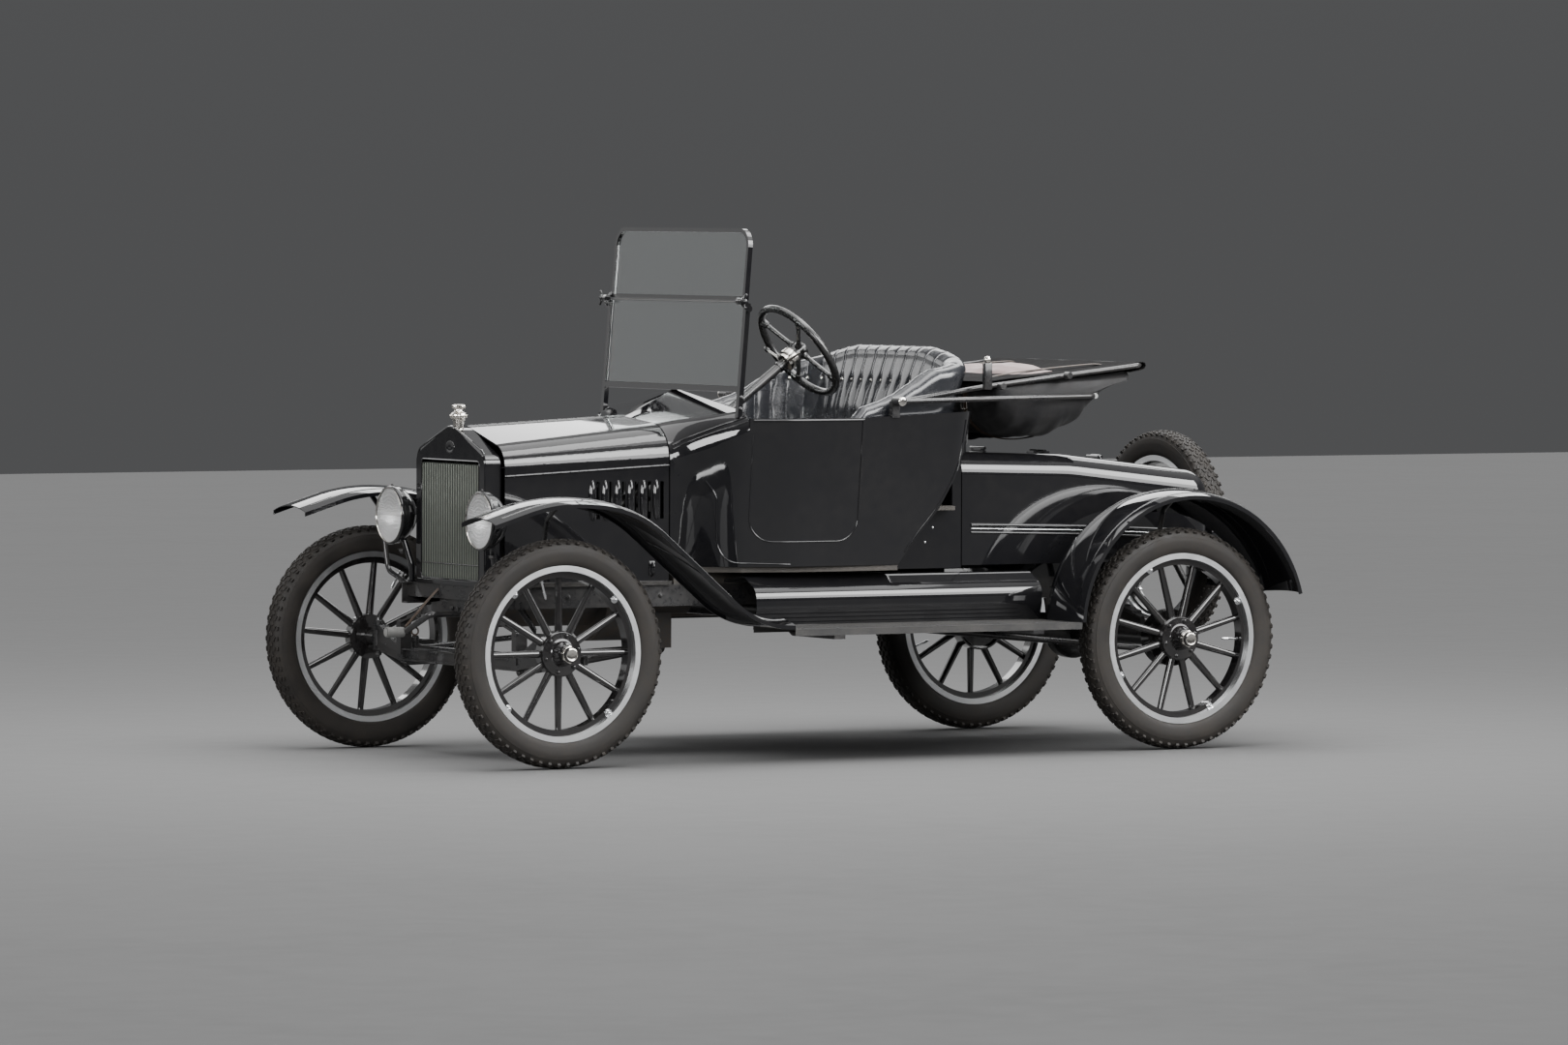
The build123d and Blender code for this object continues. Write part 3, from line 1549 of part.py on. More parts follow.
with BuildPart() as pitman_arm:
    rod(pitman_top, column_end + down_column * shaft_stub, column_radius)
    rod(column_end, pitman_ball, column_radius * arm_root_share, pitman_pin * arm_tip_share)
    rod(
        (pitman_ball.X, column_y, pitman_ball.Z),
        (pitman_ball.X, column_y, link_top - 4 * pitman_pin),
        pitman_pin,
    )
pitman_arm.part.label = "pitman_arm"
export_step(pitman_arm.part, "parts/pitman_arm.step")

# Windshield: a leaning lower half on stanchions, the upper half on pivots ahead of the frame
glass_lean = 4.8
shield_foot = 1303
frame_bar = 20
frame_thick = 18
upper_bar = 14
lower_inset = 102
upper_inset = 118
lower_half = body_half - lower_inset
upper_half = body_half - upper_inset
shield_mid = 310
upper_start = 315
upper_round = 65
glass = 6
stanchion_drop = 100
pivot_ahead = 28
lug_radius = 12
lug_width = 9
lug_pin = 6
lean = radians(glass_lean)
shield_up = Vector(-sin(lean), 0, cos(lean))
shield_out = Vector(cos(lean), 0, sin(lean))
shield_plane = Plane(origin=(at(windshield_aft), 0, shield_foot), x_dir=(0, 1, 0), z_dir=shield_out)
upper_end = (windshield_top - shield_foot) / cos(lean)
pivot_base = shield_plane.origin + shield_up * shield_mid + shield_out * pivot_ahead


def shield_bar(half_range, rise_range, thickness):
    # a bar in the glass plane, on the left side of the middle
    with BuildSketch(shield_plane) as section:
        with BuildLine():
            Polyline(
                (half_range[0], rise_range[0]),
                (half_range[1], rise_range[0]),
                (half_range[1], rise_range[1]),
                (half_range[0], rise_range[1]),
                close=True,
            )
        make_face()
    extrude(section.sketch, amount=thickness / 2, both=True)


with BuildPart() as windshield_frame:
    shield_bar((lower_half - frame_bar, lower_half), (-stanchion_drop, shield_mid - moving_gap), frame_thick)
    shield_bar((0, lower_half), (-frame_bar / 2, frame_bar / 2), frame_thick)
    ear_plane = Plane(origin=pivot_base + Vector(0, lower_half, 0), x_dir=shield_out, z_dir=(0, 1, 0))
    with BuildSketch(ear_plane) as ear:
        with Locations((0, 0), (-pivot_ahead, 2 * lug_radius)):
            Circle(lug_radius)
        make_hull()
    extrude(ear.sketch, amount=lug_width)
    rod(
        pivot_base + Vector(0, upper_half - lug_width, 0),
        pivot_base + Vector(0, lower_half, 0),
        lug_pin,
    )
    mirror(about=Plane.XZ)
    add(cowl.part, mode=Mode.SUBTRACT)
windshield_frame.part.label = "windshield_frame"
export_step(windshield_frame.part, "parts/windshield_frame.step")

with BuildPart() as windshield_glass:
    pane_half = lower_half - frame_bar - seat_gap
    shield_bar((0, pane_half), (frame_bar / 2 + seat_gap, shield_mid - moving_gap), glass)
    mirror(about=Plane.XZ)
windshield_glass.part.label = "windshield_glass"
export_step(windshield_glass.part, "parts/windshield_glass.step")

with BuildPart() as windshield_upper:
    with BuildSketch(shield_plane) as upper_ring:
        for grow, mode in ((0, Mode.ADD), (upper_bar, Mode.SUBTRACT)):
            with BuildLine():
                FilletPolyline(
                    (upper_half - grow, upper_start + grow),
                    (upper_half - grow, upper_end - grow),
                    (grow - upper_half, upper_end - grow),
                    (grow - upper_half, upper_start + grow),
                    radius=upper_round - grow,
                )
                Line((grow - upper_half, upper_start + grow), (upper_half - grow, upper_start + grow))
            make_face(mode=mode)
    extrude(upper_ring.sketch, amount=frame_thick / 2, both=True)
    for side in (1, -1):
        lug_inner = pivot_base + Vector(0, side * (upper_half - lug_width), 0)
        lug_outer = pivot_base + Vector(0, side * (lower_half - moving_gap), 0)
        rod(lug_inner, lug_outer, lug_radius)
        arm_middle = (lug_inner + lug_outer) / 2
        rod(arm_middle, arm_middle - shield_out * pivot_ahead + shield_up * 2 * lug_radius, lug_radius / 2)
        rod(
            pivot_base + Vector(0, side * (upper_half - overrun), 0),
            pivot_base + Vector(0, side * (lower_half + overrun), 0),
            lug_pin + fit,
            mode=Mode.SUBTRACT,
        )
windshield_upper.part.label = "windshield_upper"
export_step(windshield_upper.part, "parts/windshield_upper.step")

with BuildPart() as windshield_upper_glass:
    with BuildSketch(shield_plane) as pane:
        pane_inset = upper_bar + seat_gap
        with BuildLine():
            FilletPolyline(
                (upper_half - pane_inset, upper_start + pane_inset),
                (upper_half - pane_inset, upper_end - pane_inset),
                (pane_inset - upper_half, upper_end - pane_inset),
                (pane_inset - upper_half, upper_start + pane_inset),
                radius=upper_round - upper_bar,
            )
            Line(
                (pane_inset - upper_half, upper_start + pane_inset),
                (upper_half - pane_inset, upper_start + pane_inset),
            )
        make_face()
    extrude(pane.sketch, amount=glass / 2, both=True)
windshield_upper_glass.part.label = "windshield_upper_glass"
export_step(windshield_upper_glass.part, "parts/windshield_upper_glass.step")

# Headlamps: bowls with a front ring on curved posts from the frame horns, and their lenses
lamp_ahead = 108
lamp_y = 336
lamp_height = 848
lamp_radius = 101
lamp_wall = 5
lamp_barrel = 28
lamp_depth = 92
lamp_back = 26
lamp_mid_share = 0.56
lamp_waist_share = 0.74
post_radius = 11
lens_radius = lamp_radius - lamp_wall - seat_gap
lamp_front = at(-lamp_ahead)
lamp_axis_origin = (lamp_front, lamp_y, lamp_height)


def lamp_outline(inset, front):
    # half of the bowl's profile: distance behind the front, radius
    with BuildLine() as outline:
        Polyline((-front, 0), (-front, lamp_radius - inset), (lamp_barrel, lamp_radius - inset))
        ThreePointArc(
            (lamp_barrel, lamp_radius - inset),
            ((lamp_barrel + lamp_depth) * lamp_mid_share, lamp_radius * lamp_waist_share - inset),
            (lamp_depth - inset, lamp_back - inset),
        )
        Polyline((lamp_depth - inset, lamp_back - inset), (lamp_depth - inset, 0), (-front, 0))
    make_face(outline.line)


lamp_plane = Plane(origin=lamp_axis_origin, x_dir=(-1, 0, 0), z_dir=(0, 1, 0))

with BuildPart() as headlamps:
    with BuildSketch(lamp_plane) as bowl:
        lamp_outline(0, 0)
    revolve(bowl.sketch, axis=Axis(lamp_axis_origin, (1, 0, 0)))
    bent_rod(
        (
            (at(-frame_horn / 2), frame_half - rail_flange / 2, frame_top),
            (at(-frame_horn / 2), frame_half - rail_flange / 2, frame_top + 2 * lamp_barrel),
            (lamp_front - lamp_depth / 2, lamp_y, lamp_height - lamp_radius / 2),
        ),
        post_radius,
        2 * lamp_barrel,
    )
    with BuildSketch(lamp_plane) as hollow:
        lamp_outline(lamp_wall, overrun)
    revolve(hollow.sketch, axis=Axis(lamp_axis_origin, (1, 0, 0)), mode=Mode.SUBTRACT)
    block(
        (at(-frame_horn / 2) - lamp_barrel / 2, at(-frame_horn / 2) + lamp_barrel / 2),
        (rail_inner, frame_half),
        (frame_top, frame_top + lamp_wall),
    )
    mirror(about=Plane.XZ)
headlamps.part.label = "headlamps"
export_step(headlamps.part, "parts/headlamps.step")

lens_bulge = 5
lens_mid_share = 0.3
with BuildPart() as headlamp_lenses:
    with BuildSketch(lamp_plane) as lens:
        with BuildLine():
            ThreePointArc((0, 0), (lens_bulge * lens_mid_share, lens_radius / 2), (lens_bulge, lens_radius))
            Polyline((lens_bulge, lens_radius), (2 * lens_bulge, lens_radius), (2 * lens_bulge, 0), (0, 0))
        make_face()
    revolve(lens.sketch, axis=Axis(lamp_axis_origin, (1, 0, 0)))
    mirror(about=Plane.XZ)
headlamp_lenses.part.label = "headlamp_lenses"
export_step(headlamp_lenses.part, "parts/headlamp_lenses.step")

# Crank: shaft through the front crossmember, an arm to the right and the grip
crank_radius = 11
crank_arm = 190
crank_drop = 70
crank_ahead = 124
grip_length = 76
grip_radius = 17
crank_shaft_z = frame_top - cross_depth - crank_radius - seat_gap

with BuildPart() as crank:
    bent_rod(
        (
            (at(engine_front_aft), 0, crank_shaft_z - overrun),
            (at(-crank_ahead), 0, crank_shaft_z - overrun),
            (at(-crank_ahead), -crank_arm, crank_shaft_z - overrun - crank_drop),
            (at(-crank_ahead - grip_length), -crank_arm, crank_shaft_z - overrun - crank_drop),
        ),
        crank_radius,
        2 * crank_radius,
    )
    rod(
        (at(-crank_ahead - crank_radius), -crank_arm, crank_shaft_z - overrun - crank_drop),
        (at(-crank_ahead - grip_length), -crank_arm, crank_shaft_z - overrun - crank_drop),
        grip_radius,
    )
    add(springs.part, mode=Mode.SUBTRACT)
    add(engine.part, mode=Mode.SUBTRACT)
crank.part.label = "crank"
export_step(crank.part, "parts/crank.step")

# Folded top: the irons run back from pivots on the body sides, two bows cross behind the seat
pivot_aft = 1428
pivot_out = 26
pivot_height = 1259
iron_bar = 9
bow_inset = 100
bow_half = body_half - bow_inset
upper_bow_aft = 2532
upper_bow_height = 1379
lower_bow_aft = 2332
lower_bow_height = 1268
upper_knee_aft = 1880
upper_knee_height = 1308
upper_bow = (upper_bow_aft, upper_bow_height)
lower_bow = (lower_bow_aft, lower_bow_height)
upper_knee = (upper_knee_aft, upper_knee_height)
pivot_disc = 16
bow_bend = 45

with BuildPart() as top_irons:
    pivot_y = body_half + pivot_out
    for points in ((lower_bow,), (upper_knee, upper_bow)):
        route = [(at(pivot_aft), pivot_y, pivot_height)]
        route += [(at(aft), bow_half, height) for aft, height in points]
        end_aft, end_height = points[-1]
        route.append((at(end_aft), 0, end_height))
        bent_rod(route, iron_bar, bow_bend)
    rod(
        (at(pivot_aft), body_half - tub_wall / 2, pivot_height),
        (at(pivot_aft), pivot_y + pivot_disc, pivot_height),
        pivot_disc,
    )
    block(
        (at(pivot_aft) - pivot_disc, at(pivot_aft) + pivot_disc),
        (body_half - tub_wall, body_half - seat_gap),
        (belt_height, pivot_height),
    )
    mirror(about=Plane.XZ)
    add(tub_blank.part, mode=Mode.SUBTRACT)
    add(seat_back.part, mode=Mode.SUBTRACT)
top_irons.part.label = "top_irons"
export_step(top_irons.part, "parts/top_irons.step")

cloth_half = bow_half - iron_bar - seat_gap
# side view of the bundled cloth, as shares of the upper bow's distance aft and height
cloth_shares = (
    (0.74052, 0.96084),
    (0.99447, 1.00145),
    (0.99447, 0.98042),
    (0.93602, 0.90645),
    (0.88468, 0.81798),
    (0.81359, 0.80638),
    (0.75039, 0.84482),
)

with BuildPart() as top_cloth:
    with BuildSketch(Plane.XZ):
        with BuildLine():
            cloth_edge = []
            for aft, height in cloth_shares:
                cloth_edge.append((at(aft * upper_bow_aft), height * upper_bow_height))
            FilletPolyline(*cloth_edge, cloth_edge[0], radius=iron_bar)
        make_face()
    extrude(amount=cloth_half, both=True)
    for bow_aft, bow_height in (lower_bow, upper_bow):
        rod(
            (at(bow_aft), -body_half, bow_height),
            (at(bow_aft), body_half, bow_height),
            iron_bar + seat_gap,
            mode=Mode.SUBTRACT,
        )
    add(top_irons.part, mode=Mode.SUBTRACT)
top_cloth.part.label = "top_cloth"
export_step(top_cloth.part, "parts/top_cloth.step")

# Controls: three pedals through the floor and the hand lever at the driver's left
pedal_aft = 800
pedal_length = 150
pedal_pitch = 75
pedal_pad = 30
pedal_radius = 7
lever_aft = 960
lever_y = 400
lever_rise = 360
lever_rake = 120
hand_radius = 9

with BuildPart() as controls:
    for place in range(3):
        pedal_y = column_y - 2 * pedal_pitch - pedal_pitch / 2 + place * pedal_pitch
        rod(
            (at(pedal_aft), pedal_y, floor_top),
            (at(pedal_aft + pedal_pad), pedal_y, floor_top + pedal_length),
            pedal_radius,
        )
        block(
            (at(pedal_aft + pedal_pad) - pedal_radius, at(pedal_aft + pedal_pad) + pedal_radius),
            (pedal_y - pedal_pad, pedal_y + pedal_pad),
            (floor_top + pedal_length - pedal_pad, floor_top + pedal_length + pedal_pad),
        )
    rod(
        (at(lever_aft), lever_y, floor_top),
        (at(lever_aft + lever_rake), lever_y, floor_top + lever_rise),
        hand_radius,
    )
    add(floor.part, mode=Mode.SUBTRACT)
controls.part.label = "controls"
export_step(controls.part, "parts/controls.step")
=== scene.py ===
import json
from math import cos, hypot, pi, radians, sin

import bpy
from mathutils import Matrix, Vector, noise

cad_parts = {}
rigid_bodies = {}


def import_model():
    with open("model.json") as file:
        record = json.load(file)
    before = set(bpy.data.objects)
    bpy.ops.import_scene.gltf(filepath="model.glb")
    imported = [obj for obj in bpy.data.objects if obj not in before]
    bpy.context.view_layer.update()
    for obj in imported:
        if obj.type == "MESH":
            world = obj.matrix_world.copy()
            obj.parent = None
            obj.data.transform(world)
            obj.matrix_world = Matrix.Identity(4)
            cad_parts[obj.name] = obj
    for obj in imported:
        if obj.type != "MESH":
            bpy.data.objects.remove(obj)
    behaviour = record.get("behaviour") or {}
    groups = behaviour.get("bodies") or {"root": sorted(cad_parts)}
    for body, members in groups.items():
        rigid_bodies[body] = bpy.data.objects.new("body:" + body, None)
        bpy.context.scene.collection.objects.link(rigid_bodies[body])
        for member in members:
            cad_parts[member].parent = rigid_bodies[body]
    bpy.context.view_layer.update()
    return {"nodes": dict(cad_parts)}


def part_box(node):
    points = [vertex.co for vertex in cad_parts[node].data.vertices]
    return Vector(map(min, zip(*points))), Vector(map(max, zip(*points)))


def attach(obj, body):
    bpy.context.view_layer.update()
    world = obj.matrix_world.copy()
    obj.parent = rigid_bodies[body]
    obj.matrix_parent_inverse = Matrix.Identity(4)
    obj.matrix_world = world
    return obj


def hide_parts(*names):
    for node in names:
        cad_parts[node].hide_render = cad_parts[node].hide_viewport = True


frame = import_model()
print("car frame loaded")

frontAxleX = 1.31162
wheelbase = 2.54
wheelHalf = 0.711  # half of the track
axleHeight = 0.399
bothSides = ((1, "left"), (-1, "right"))


def aft(distance):
    return frontAxleX - distance  # x of a place that far behind the front axle


def deselectAll():
    bpy.ops.object.select_all(action="DESELECT")


def activate(obj):
    deselectAll()
    obj.select_set(True)
    bpy.context.view_layer.objects.active = obj


def editAll():
    bpy.ops.object.mode_set(mode="EDIT")
    bpy.ops.mesh.select_all(action="SELECT")


def leaveEdit():
    bpy.ops.object.mode_set(mode="OBJECT")


def bakePlace(obj):
    activate(obj)
    bpy.ops.object.transform_apply(location=True, rotation=True, scale=True)
    return obj


def joinPieces(objs):
    deselectAll()
    for obj in objs:
        obj.select_set(True)
    bpy.context.view_layer.objects.active = objs[0]
    if len(objs) > 1:
        bpy.ops.object.join()
    return bpy.context.object


def copyOf(obj):
    activate(obj)
    bpy.ops.object.duplicate()
    return bpy.context.object


def placed(obj, origin, axis, roll=0.0):
    # turns a piece made along +Z so that it runs along the axis
    turn = Vector(axis).to_track_quat("Z", "Y").to_matrix().to_4x4()
    obj.matrix_world = Matrix.Translation(origin) @ turn @ Matrix.Rotation(roll, 4, "Z")
    return bakePlace(obj)


def applyAll(obj):
    activate(obj)
    for modifier in list(obj.modifiers):
        bpy.ops.object.modifier_apply(modifier=modifier.name)


def bevelled(obj, width, segments=2, angle=35):
    modifier = obj.modifiers.new("edges", "BEVEL")
    modifier.width, modifier.segments = width, segments
    modifier.angle_limit = radians(angle)
    applyAll(obj)
    return obj


def recalculated(obj, doubles=0.00005):
    activate(obj)
    editAll()
    bpy.ops.mesh.remove_doubles(threshold=doubles)
    bpy.ops.mesh.normals_make_consistent(inside=False)
    leaveEdit()
    return obj


def finished(obj, name, finish, body="car", smooth=40):
    # one piece, or a list that is joined: named, coloured and set on its body
    if isinstance(obj, list):
        obj = joinPieces(obj)
    obj.name = name
    obj.data.name = name
    bakePlace(obj)
    obj.data.materials.clear()
    obj.data.materials.append(finish)
    activate(obj)
    bpy.ops.object.shade_smooth_by_angle(angle=radians(smooth))
    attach(obj, body)
    return obj


def boxAt(low, high, bevel=0.0):
    centre = [(a + b) / 2 for a, b in zip(low, high)]
    deselectAll()
    bpy.ops.mesh.primitive_cube_add(size=1, location=centre)
    obj = bpy.context.object
    obj.scale = [abs(b - a) for a, b in zip(low, high)]
    bakePlace(obj)
    return bevelled(obj, bevel) if bevel else obj


def turned(profile, origin=(0, 0, 0), axis=(0, 0, 1), sides=32, closed=False):
    # a ring that is extruded and resized from point to point: (height, radius)
    deselectAll()
    bpy.ops.mesh.primitive_circle_add(vertices=sides, radius=profile[0][1], location=(0, 0, profile[0][0]))
    obj = bpy.context.object
    bakePlace(obj)
    editAll()
    for (lastHeight, lastRadius), (height, radius) in zip(profile, profile[1:]):
        bpy.ops.mesh.extrude_region_move(TRANSFORM_OT_translate={"value": (0, 0, height - lastHeight)})
        scale = radius / lastRadius
        bpy.ops.transform.resize(value=(scale, scale, 1), center_override=(0, 0, height))
    bpy.ops.mesh.select_all(action="SELECT")
    if closed:
        bpy.ops.mesh.remove_doubles(threshold=0.00005)
    else:
        bpy.ops.mesh.fill_holes(sides=0)
    bpy.ops.mesh.normals_make_consistent(inside=False)
    leaveEdit()
    return placed(obj, origin, axis)


def wire(points, radius, closed=False, smoothLine=False, sides=3):
    # a round bar along points
    line = bpy.data.curves.new("wire", "CURVE")
    line.dimensions = "3D"
    spline = line.splines.new("NURBS" if smoothLine else "POLY")
    spline.points.add(len(points) - 1)
    for knot, point in zip(spline.points, points):
        knot.co = (*point, 1)
    spline.use_cyclic_u = closed
    if smoothLine:
        spline.order_u = 3
        spline.use_endpoint_u = not closed
        spline.resolution_u = 6
    line.bevel_depth = radius
    line.bevel_resolution = sides
    line.use_fill_caps = not closed
    obj = bpy.data.objects.new("wire", line)
    bpy.context.collection.objects.link(obj)
    activate(obj)
    bpy.ops.object.convert(target="MESH")
    return recalculated(bpy.context.object)


def aroundAxis(obj, centre, axis, count):
    # copies all faces of a mesh round an axis
    activate(obj)
    editAll()
    bpy.ops.mesh.spin(steps=count - 1, dupli=True, angle=2 * pi * (count - 1) / count, center=centre,
                      axis=axis)
    leaveEdit()
    return obj


def hexBolt(origin, axis, across=0.013, height=0.006):
    # a hexagon head with a raised round end
    radius = across / 1.732
    head = turned([(0, radius), (height * 0.8, radius), (height, radius * 0.86)], sides=6)
    end = turned([(height * 0.9, radius * 0.52), (height * 1.5, radius * 0.48), (height * 1.6, radius * 0.3)],
                 sides=12)
    washer = turned([(-0.0002, radius * 1.25), (0.0012, radius * 1.25), (0.0014, radius * 1.15)], sides=20)
    return placed(joinPieces([head, end, washer]), origin, axis, roll=0.3)


def meshOfRows(name, rows, tube=True):
    # a mesh through rows of points: a tube with closed ends, or an open sheet
    across, count = len(rows[0]), len(rows)
    faces = []
    for row in range(count - 1):
        for step in range(across if tube else across - 1):
            a, b = row * across + step, row * across + (step + 1) % across
            faces.append((a, b, b + across, a + across))
    if tube:
        faces.append(tuple(range(across - 1, -1, -1)))
        faces.append(tuple((count - 1) * across + step for step in range(across)))
    mesh = bpy.data.meshes.new(name)
    mesh.from_pydata([point for row in rows for point in row], [], faces)
    obj = bpy.data.objects.new(name, mesh)
    bpy.context.collection.objects.link(obj)
    return obj


def bell(share):
    return 2.718 ** -(share ** 2)  # 1 in the middle, fading out to both sides


def surfaceHit(names, origin, direction):
    # the first point of some CAD nodes along a ray, and the face's normal there
    start, ray, best = Vector(origin), Vector(direction).normalized(), None
    for name in names:
        found, place, normal, _ = frame["nodes"][name].ray_cast(start, ray)
        if found and (best is None or (place - start).length < (best[0] - start).length):
            best = (place, normal)
    return best


def rounded(points, radius, steps=5):
    # the same line with its inner corners rounded off
    line = [Vector(points[0])]
    for before, corner, after in zip(points, points[1:], points[2:]):
        before, corner, after = Vector(before), Vector(corner), Vector(after)
        reach = min(radius, (before - corner).length / 2, (after - corner).length / 2)
        start = corner + (before - corner).normalized() * reach
        end = corner + (after - corner).normalized() * reach
        for step in range(steps + 1):
            t = step / steps
            line.append(start * (1 - t) ** 2 + corner * 2 * t * (1 - t) + end * t * t)
    line.append(Vector(points[-1]))
    return line


def barFrom(place, offsets, corner, radius, side=1, sides=3):
    # a bar bent through offsets from a place, mirrored on the right side
    spots = [place + Vector((x, side * y, z)) for x, y, z in offsets]
    return wire(rounded(spots, corner), radius, sides=sides)


def mirrored(points):
    return [point * Vector((1, -1, 1)) for point in points]


def sideHit(names, aftPlace, height, side, out=1.3):
    # a CAD face seen from that side of the car
    return surfaceHit(names, (aft(aftPlace), side * out, height), (0, -side, 0))


def topHit(names, aftPlace, y, height=1.2):
    return surfaceHit(names, (aft(aftPlace), y, height), (0, 0, -1))


def projectedLine(names, points, side, lift=0.0, step=0.015, fromAbove=False):
    # lays a line on CAD faces: distance aft with height from the side, or with distance out from above
    line = []
    for first, last in zip(points, points[1:]):
        first, last = Vector(first), Vector(last)
        count = max(1, round((last - first).length / step))
        line += [first.lerp(last, index / count) for index in range(count)]
    line.append(Vector(points[-1]))
    found, farthest = [], 4 * step + 0.02
    for spot in line:
        if fromAbove:
            hit = topHit(names, spot[0], side * spot[1], 2.2)
        else:
            hit = sideHit(names, spot[0], spot[1], side)
        nearSide = hit and (fromAbove or hit[0].y * side > 0.3)
        if nearSide and (not found or (hit[0] - found[-1]).length < farthest):
            found.append(hit[0] + hit[1] * lift)
    return found


def rivet(origin, axis, radius=0.004, height=0.002):
    return turned([(-0.001, radius), (height * 0.3, radius), (height * 0.8, radius * 0.7),
                   (height, radius * 0.3)],
                  origin, axis, 12)


def fill(node, values):
    for socket, value in values.items():
        node.inputs[socket].default_value = value
    return node


def makeGroup(name, inputs, outputs, parts, joins):
    # parts: label, kind of node, its settings, its values; joins: from, output, to, input
    group = bpy.data.node_groups.new(name, "ShaderNodeTree")
    for label, kind, value in inputs:
        socket = group.interface.new_socket(label, in_out="INPUT", socket_type=f"NodeSocket{kind}")
        socket.default_value = value
    for label, kind in outputs:
        group.interface.new_socket(label, in_out="OUTPUT", socket_type=f"NodeSocket{kind}")
    nodes = {"given": group.nodes.new("NodeGroupInput"), "made": group.nodes.new("NodeGroupOutput")}
    for label, kind, settings, values in parts:
        nodes[label] = fill(group.nodes.new(f"ShaderNode{kind}"), values)
        for setting, value in settings.items():
            setattr(nodes[label], setting, value)
    for start, output, end, socket in joins:
        group.links.new(nodes[start].outputs[output], nodes[end].inputs[socket])
    return group


# uneven colour and polish: large soft stains and fine dust
multiply = {"operation": "MULTIPLY"}
unevenTone = makeGroup(
    "unevenTone",
    (("Color", "Color", (0.5, 0.5, 0.5, 1)), ("Stain", "Color", (0.3, 0.3, 0.3, 1)), ("Amount", "Float", 0.3),
     ("Scale", "Float", 8.0), ("Rough Low", "Float", 0.1), ("Rough High", "Float", 0.2)),
    (("Color", "Color"), ("Roughness", "Float"), ("Mask", "Float")),
    (("place", "TexCoord", {}, {}), ("soft", "TexNoise", {}, {}), ("fine", "TexNoise", {}, {"Detail": 6}),
     ("finer", "Math", multiply, {1: 9.0}), ("both", "Math", multiply, {}), ("share", "Math", multiply, {}),
     ("spread", "MapRange", {}, {"From Min": 0.14, "From Max": 0.42}),
     ("mix", "Mix", {"data_type": "RGBA"}, {}), ("polish", "MapRange", {}, {})),
    (("place", "Object", "soft", "Vector"), ("place", "Object", "fine", "Vector"),
     ("given", "Scale", "soft", "Scale"), ("given", "Scale", "finer", 0), ("finer", 0, "fine", "Scale"),
     ("soft", "Fac", "both", 0), ("fine", "Fac", "both", 1), ("both", 0, "spread", "Value"),
     ("spread", "Result", "share", 0), ("given", "Amount", "share", 1), ("share", 0, "mix", "Factor"),
     ("given", "Color", "mix", 6), ("given", "Stain", "mix", 7), ("spread", "Result", "polish", "Value"),
     ("given", "Rough Low", "polish", "To Min"), ("given", "Rough High", "polish", "To Max"),
     ("mix", 2, "made", "Color"), ("polish", "Result", "made", "Roughness"),
     ("spread", "Result", "made", "Mask")))
# leather and rubber grain: cells with fine noise
cellGrain = makeGroup(
    "cellGrain",
    (("Scale", "Float", 400.0), ("Cells", "Float", 0.6)),
    (("Height", "Float"),),
    (("place", "TexCoord", {}, {}), ("cells", "TexVoronoi", {"feature": "SMOOTH_F1"}, {}),
     ("fine", "TexNoise", {}, {}), ("mix", "Mix", {}, {})),
    (("place", "Object", "cells", "Vector"), ("place", "Object", "fine", "Vector"),
     ("given", "Scale", "cells", "Scale"), ("given", "Scale", "fine", "Scale"),
     ("given", "Cells", "mix", "Factor"), ("fine", "Fac", "mix", 2), ("cells", "Distance", "mix", 3),
     ("mix", 0, "made", "Height")))
# straight brushing, wood grain or weave: noise stretched along one axis
stretchedGrain = makeGroup(
    "stretchedGrain",
    (("Stretch", "Vector", (1, 1, 1)), ("Scale", "Float", 60.0)),
    (("Height", "Float"), ("Mask", "Float")),
    (("place", "TexCoord", {}, {}), ("product", "VectorMath", multiply, {}),
     ("lines", "TexNoise", {}, {"Detail": 4}),
     ("contrast", "MapRange", {}, {"From Min": 0.35, "From Max": 0.65})),
    (("place", "Object", "product", 0), ("given", "Stretch", "product", 1), ("product", 0, "lines", "Vector"),
     ("given", "Scale", "lines", "Scale"), ("lines", "Fac", "made", "Height"),
     ("lines", "Fac", "contrast", "Value"), ("contrast", "Result", "made", "Mask")))


def newMaterial(name, values):
    made = bpy.data.materials.new(name)
    made.use_nodes = True
    fill(made.node_tree.nodes["Principled BSDF"], values)
    return made, made.node_tree.nodes, made.node_tree.links


def groupNode(nodes, group, values):
    node = nodes.new("ShaderNodeGroup")
    node.node_tree = group
    return fill(node, values)


def material(name, color, stain, amount=0.3, scale=8.0, rough=(0.1, 0.2), metal=0.0, coat=0.0, grain=None,
             lines=None, bump=0.1, depth=0.001, sheen=0.0, specular=0.5):
    made, nodes, links = newMaterial(name, {
        "Metallic": metal, "Coat Weight": coat, "Coat Roughness": 0.03, "Sheen Weight": sheen,
        "Specular IOR Level": specular})
    shader = nodes["Principled BSDF"]
    tone = groupNode(nodes, unevenTone, {
        "Color": (*color, 1), "Stain": (*stain, 1), "Amount": amount, "Scale": scale,
        "Rough Low": rough[0], "Rough High": rough[1]})
    links.new(tone.outputs["Color"], shader.inputs["Base Color"])
    links.new(tone.outputs["Roughness"], shader.inputs["Roughness"])
    if grain or lines:
        if grain:
            pattern = groupNode(nodes, cellGrain, {"Scale": grain})
        else:
            pattern = groupNode(nodes, stretchedGrain, {"Stretch": lines[0], "Scale": lines[1]})
        relief = fill(nodes.new("ShaderNodeBump"), {"Strength": bump, "Distance": depth})
        links.new(pattern.outputs["Height"], relief.inputs["Height"])
        links.new(relief.outputs["Normal"], shader.inputs["Normal"])
    return made


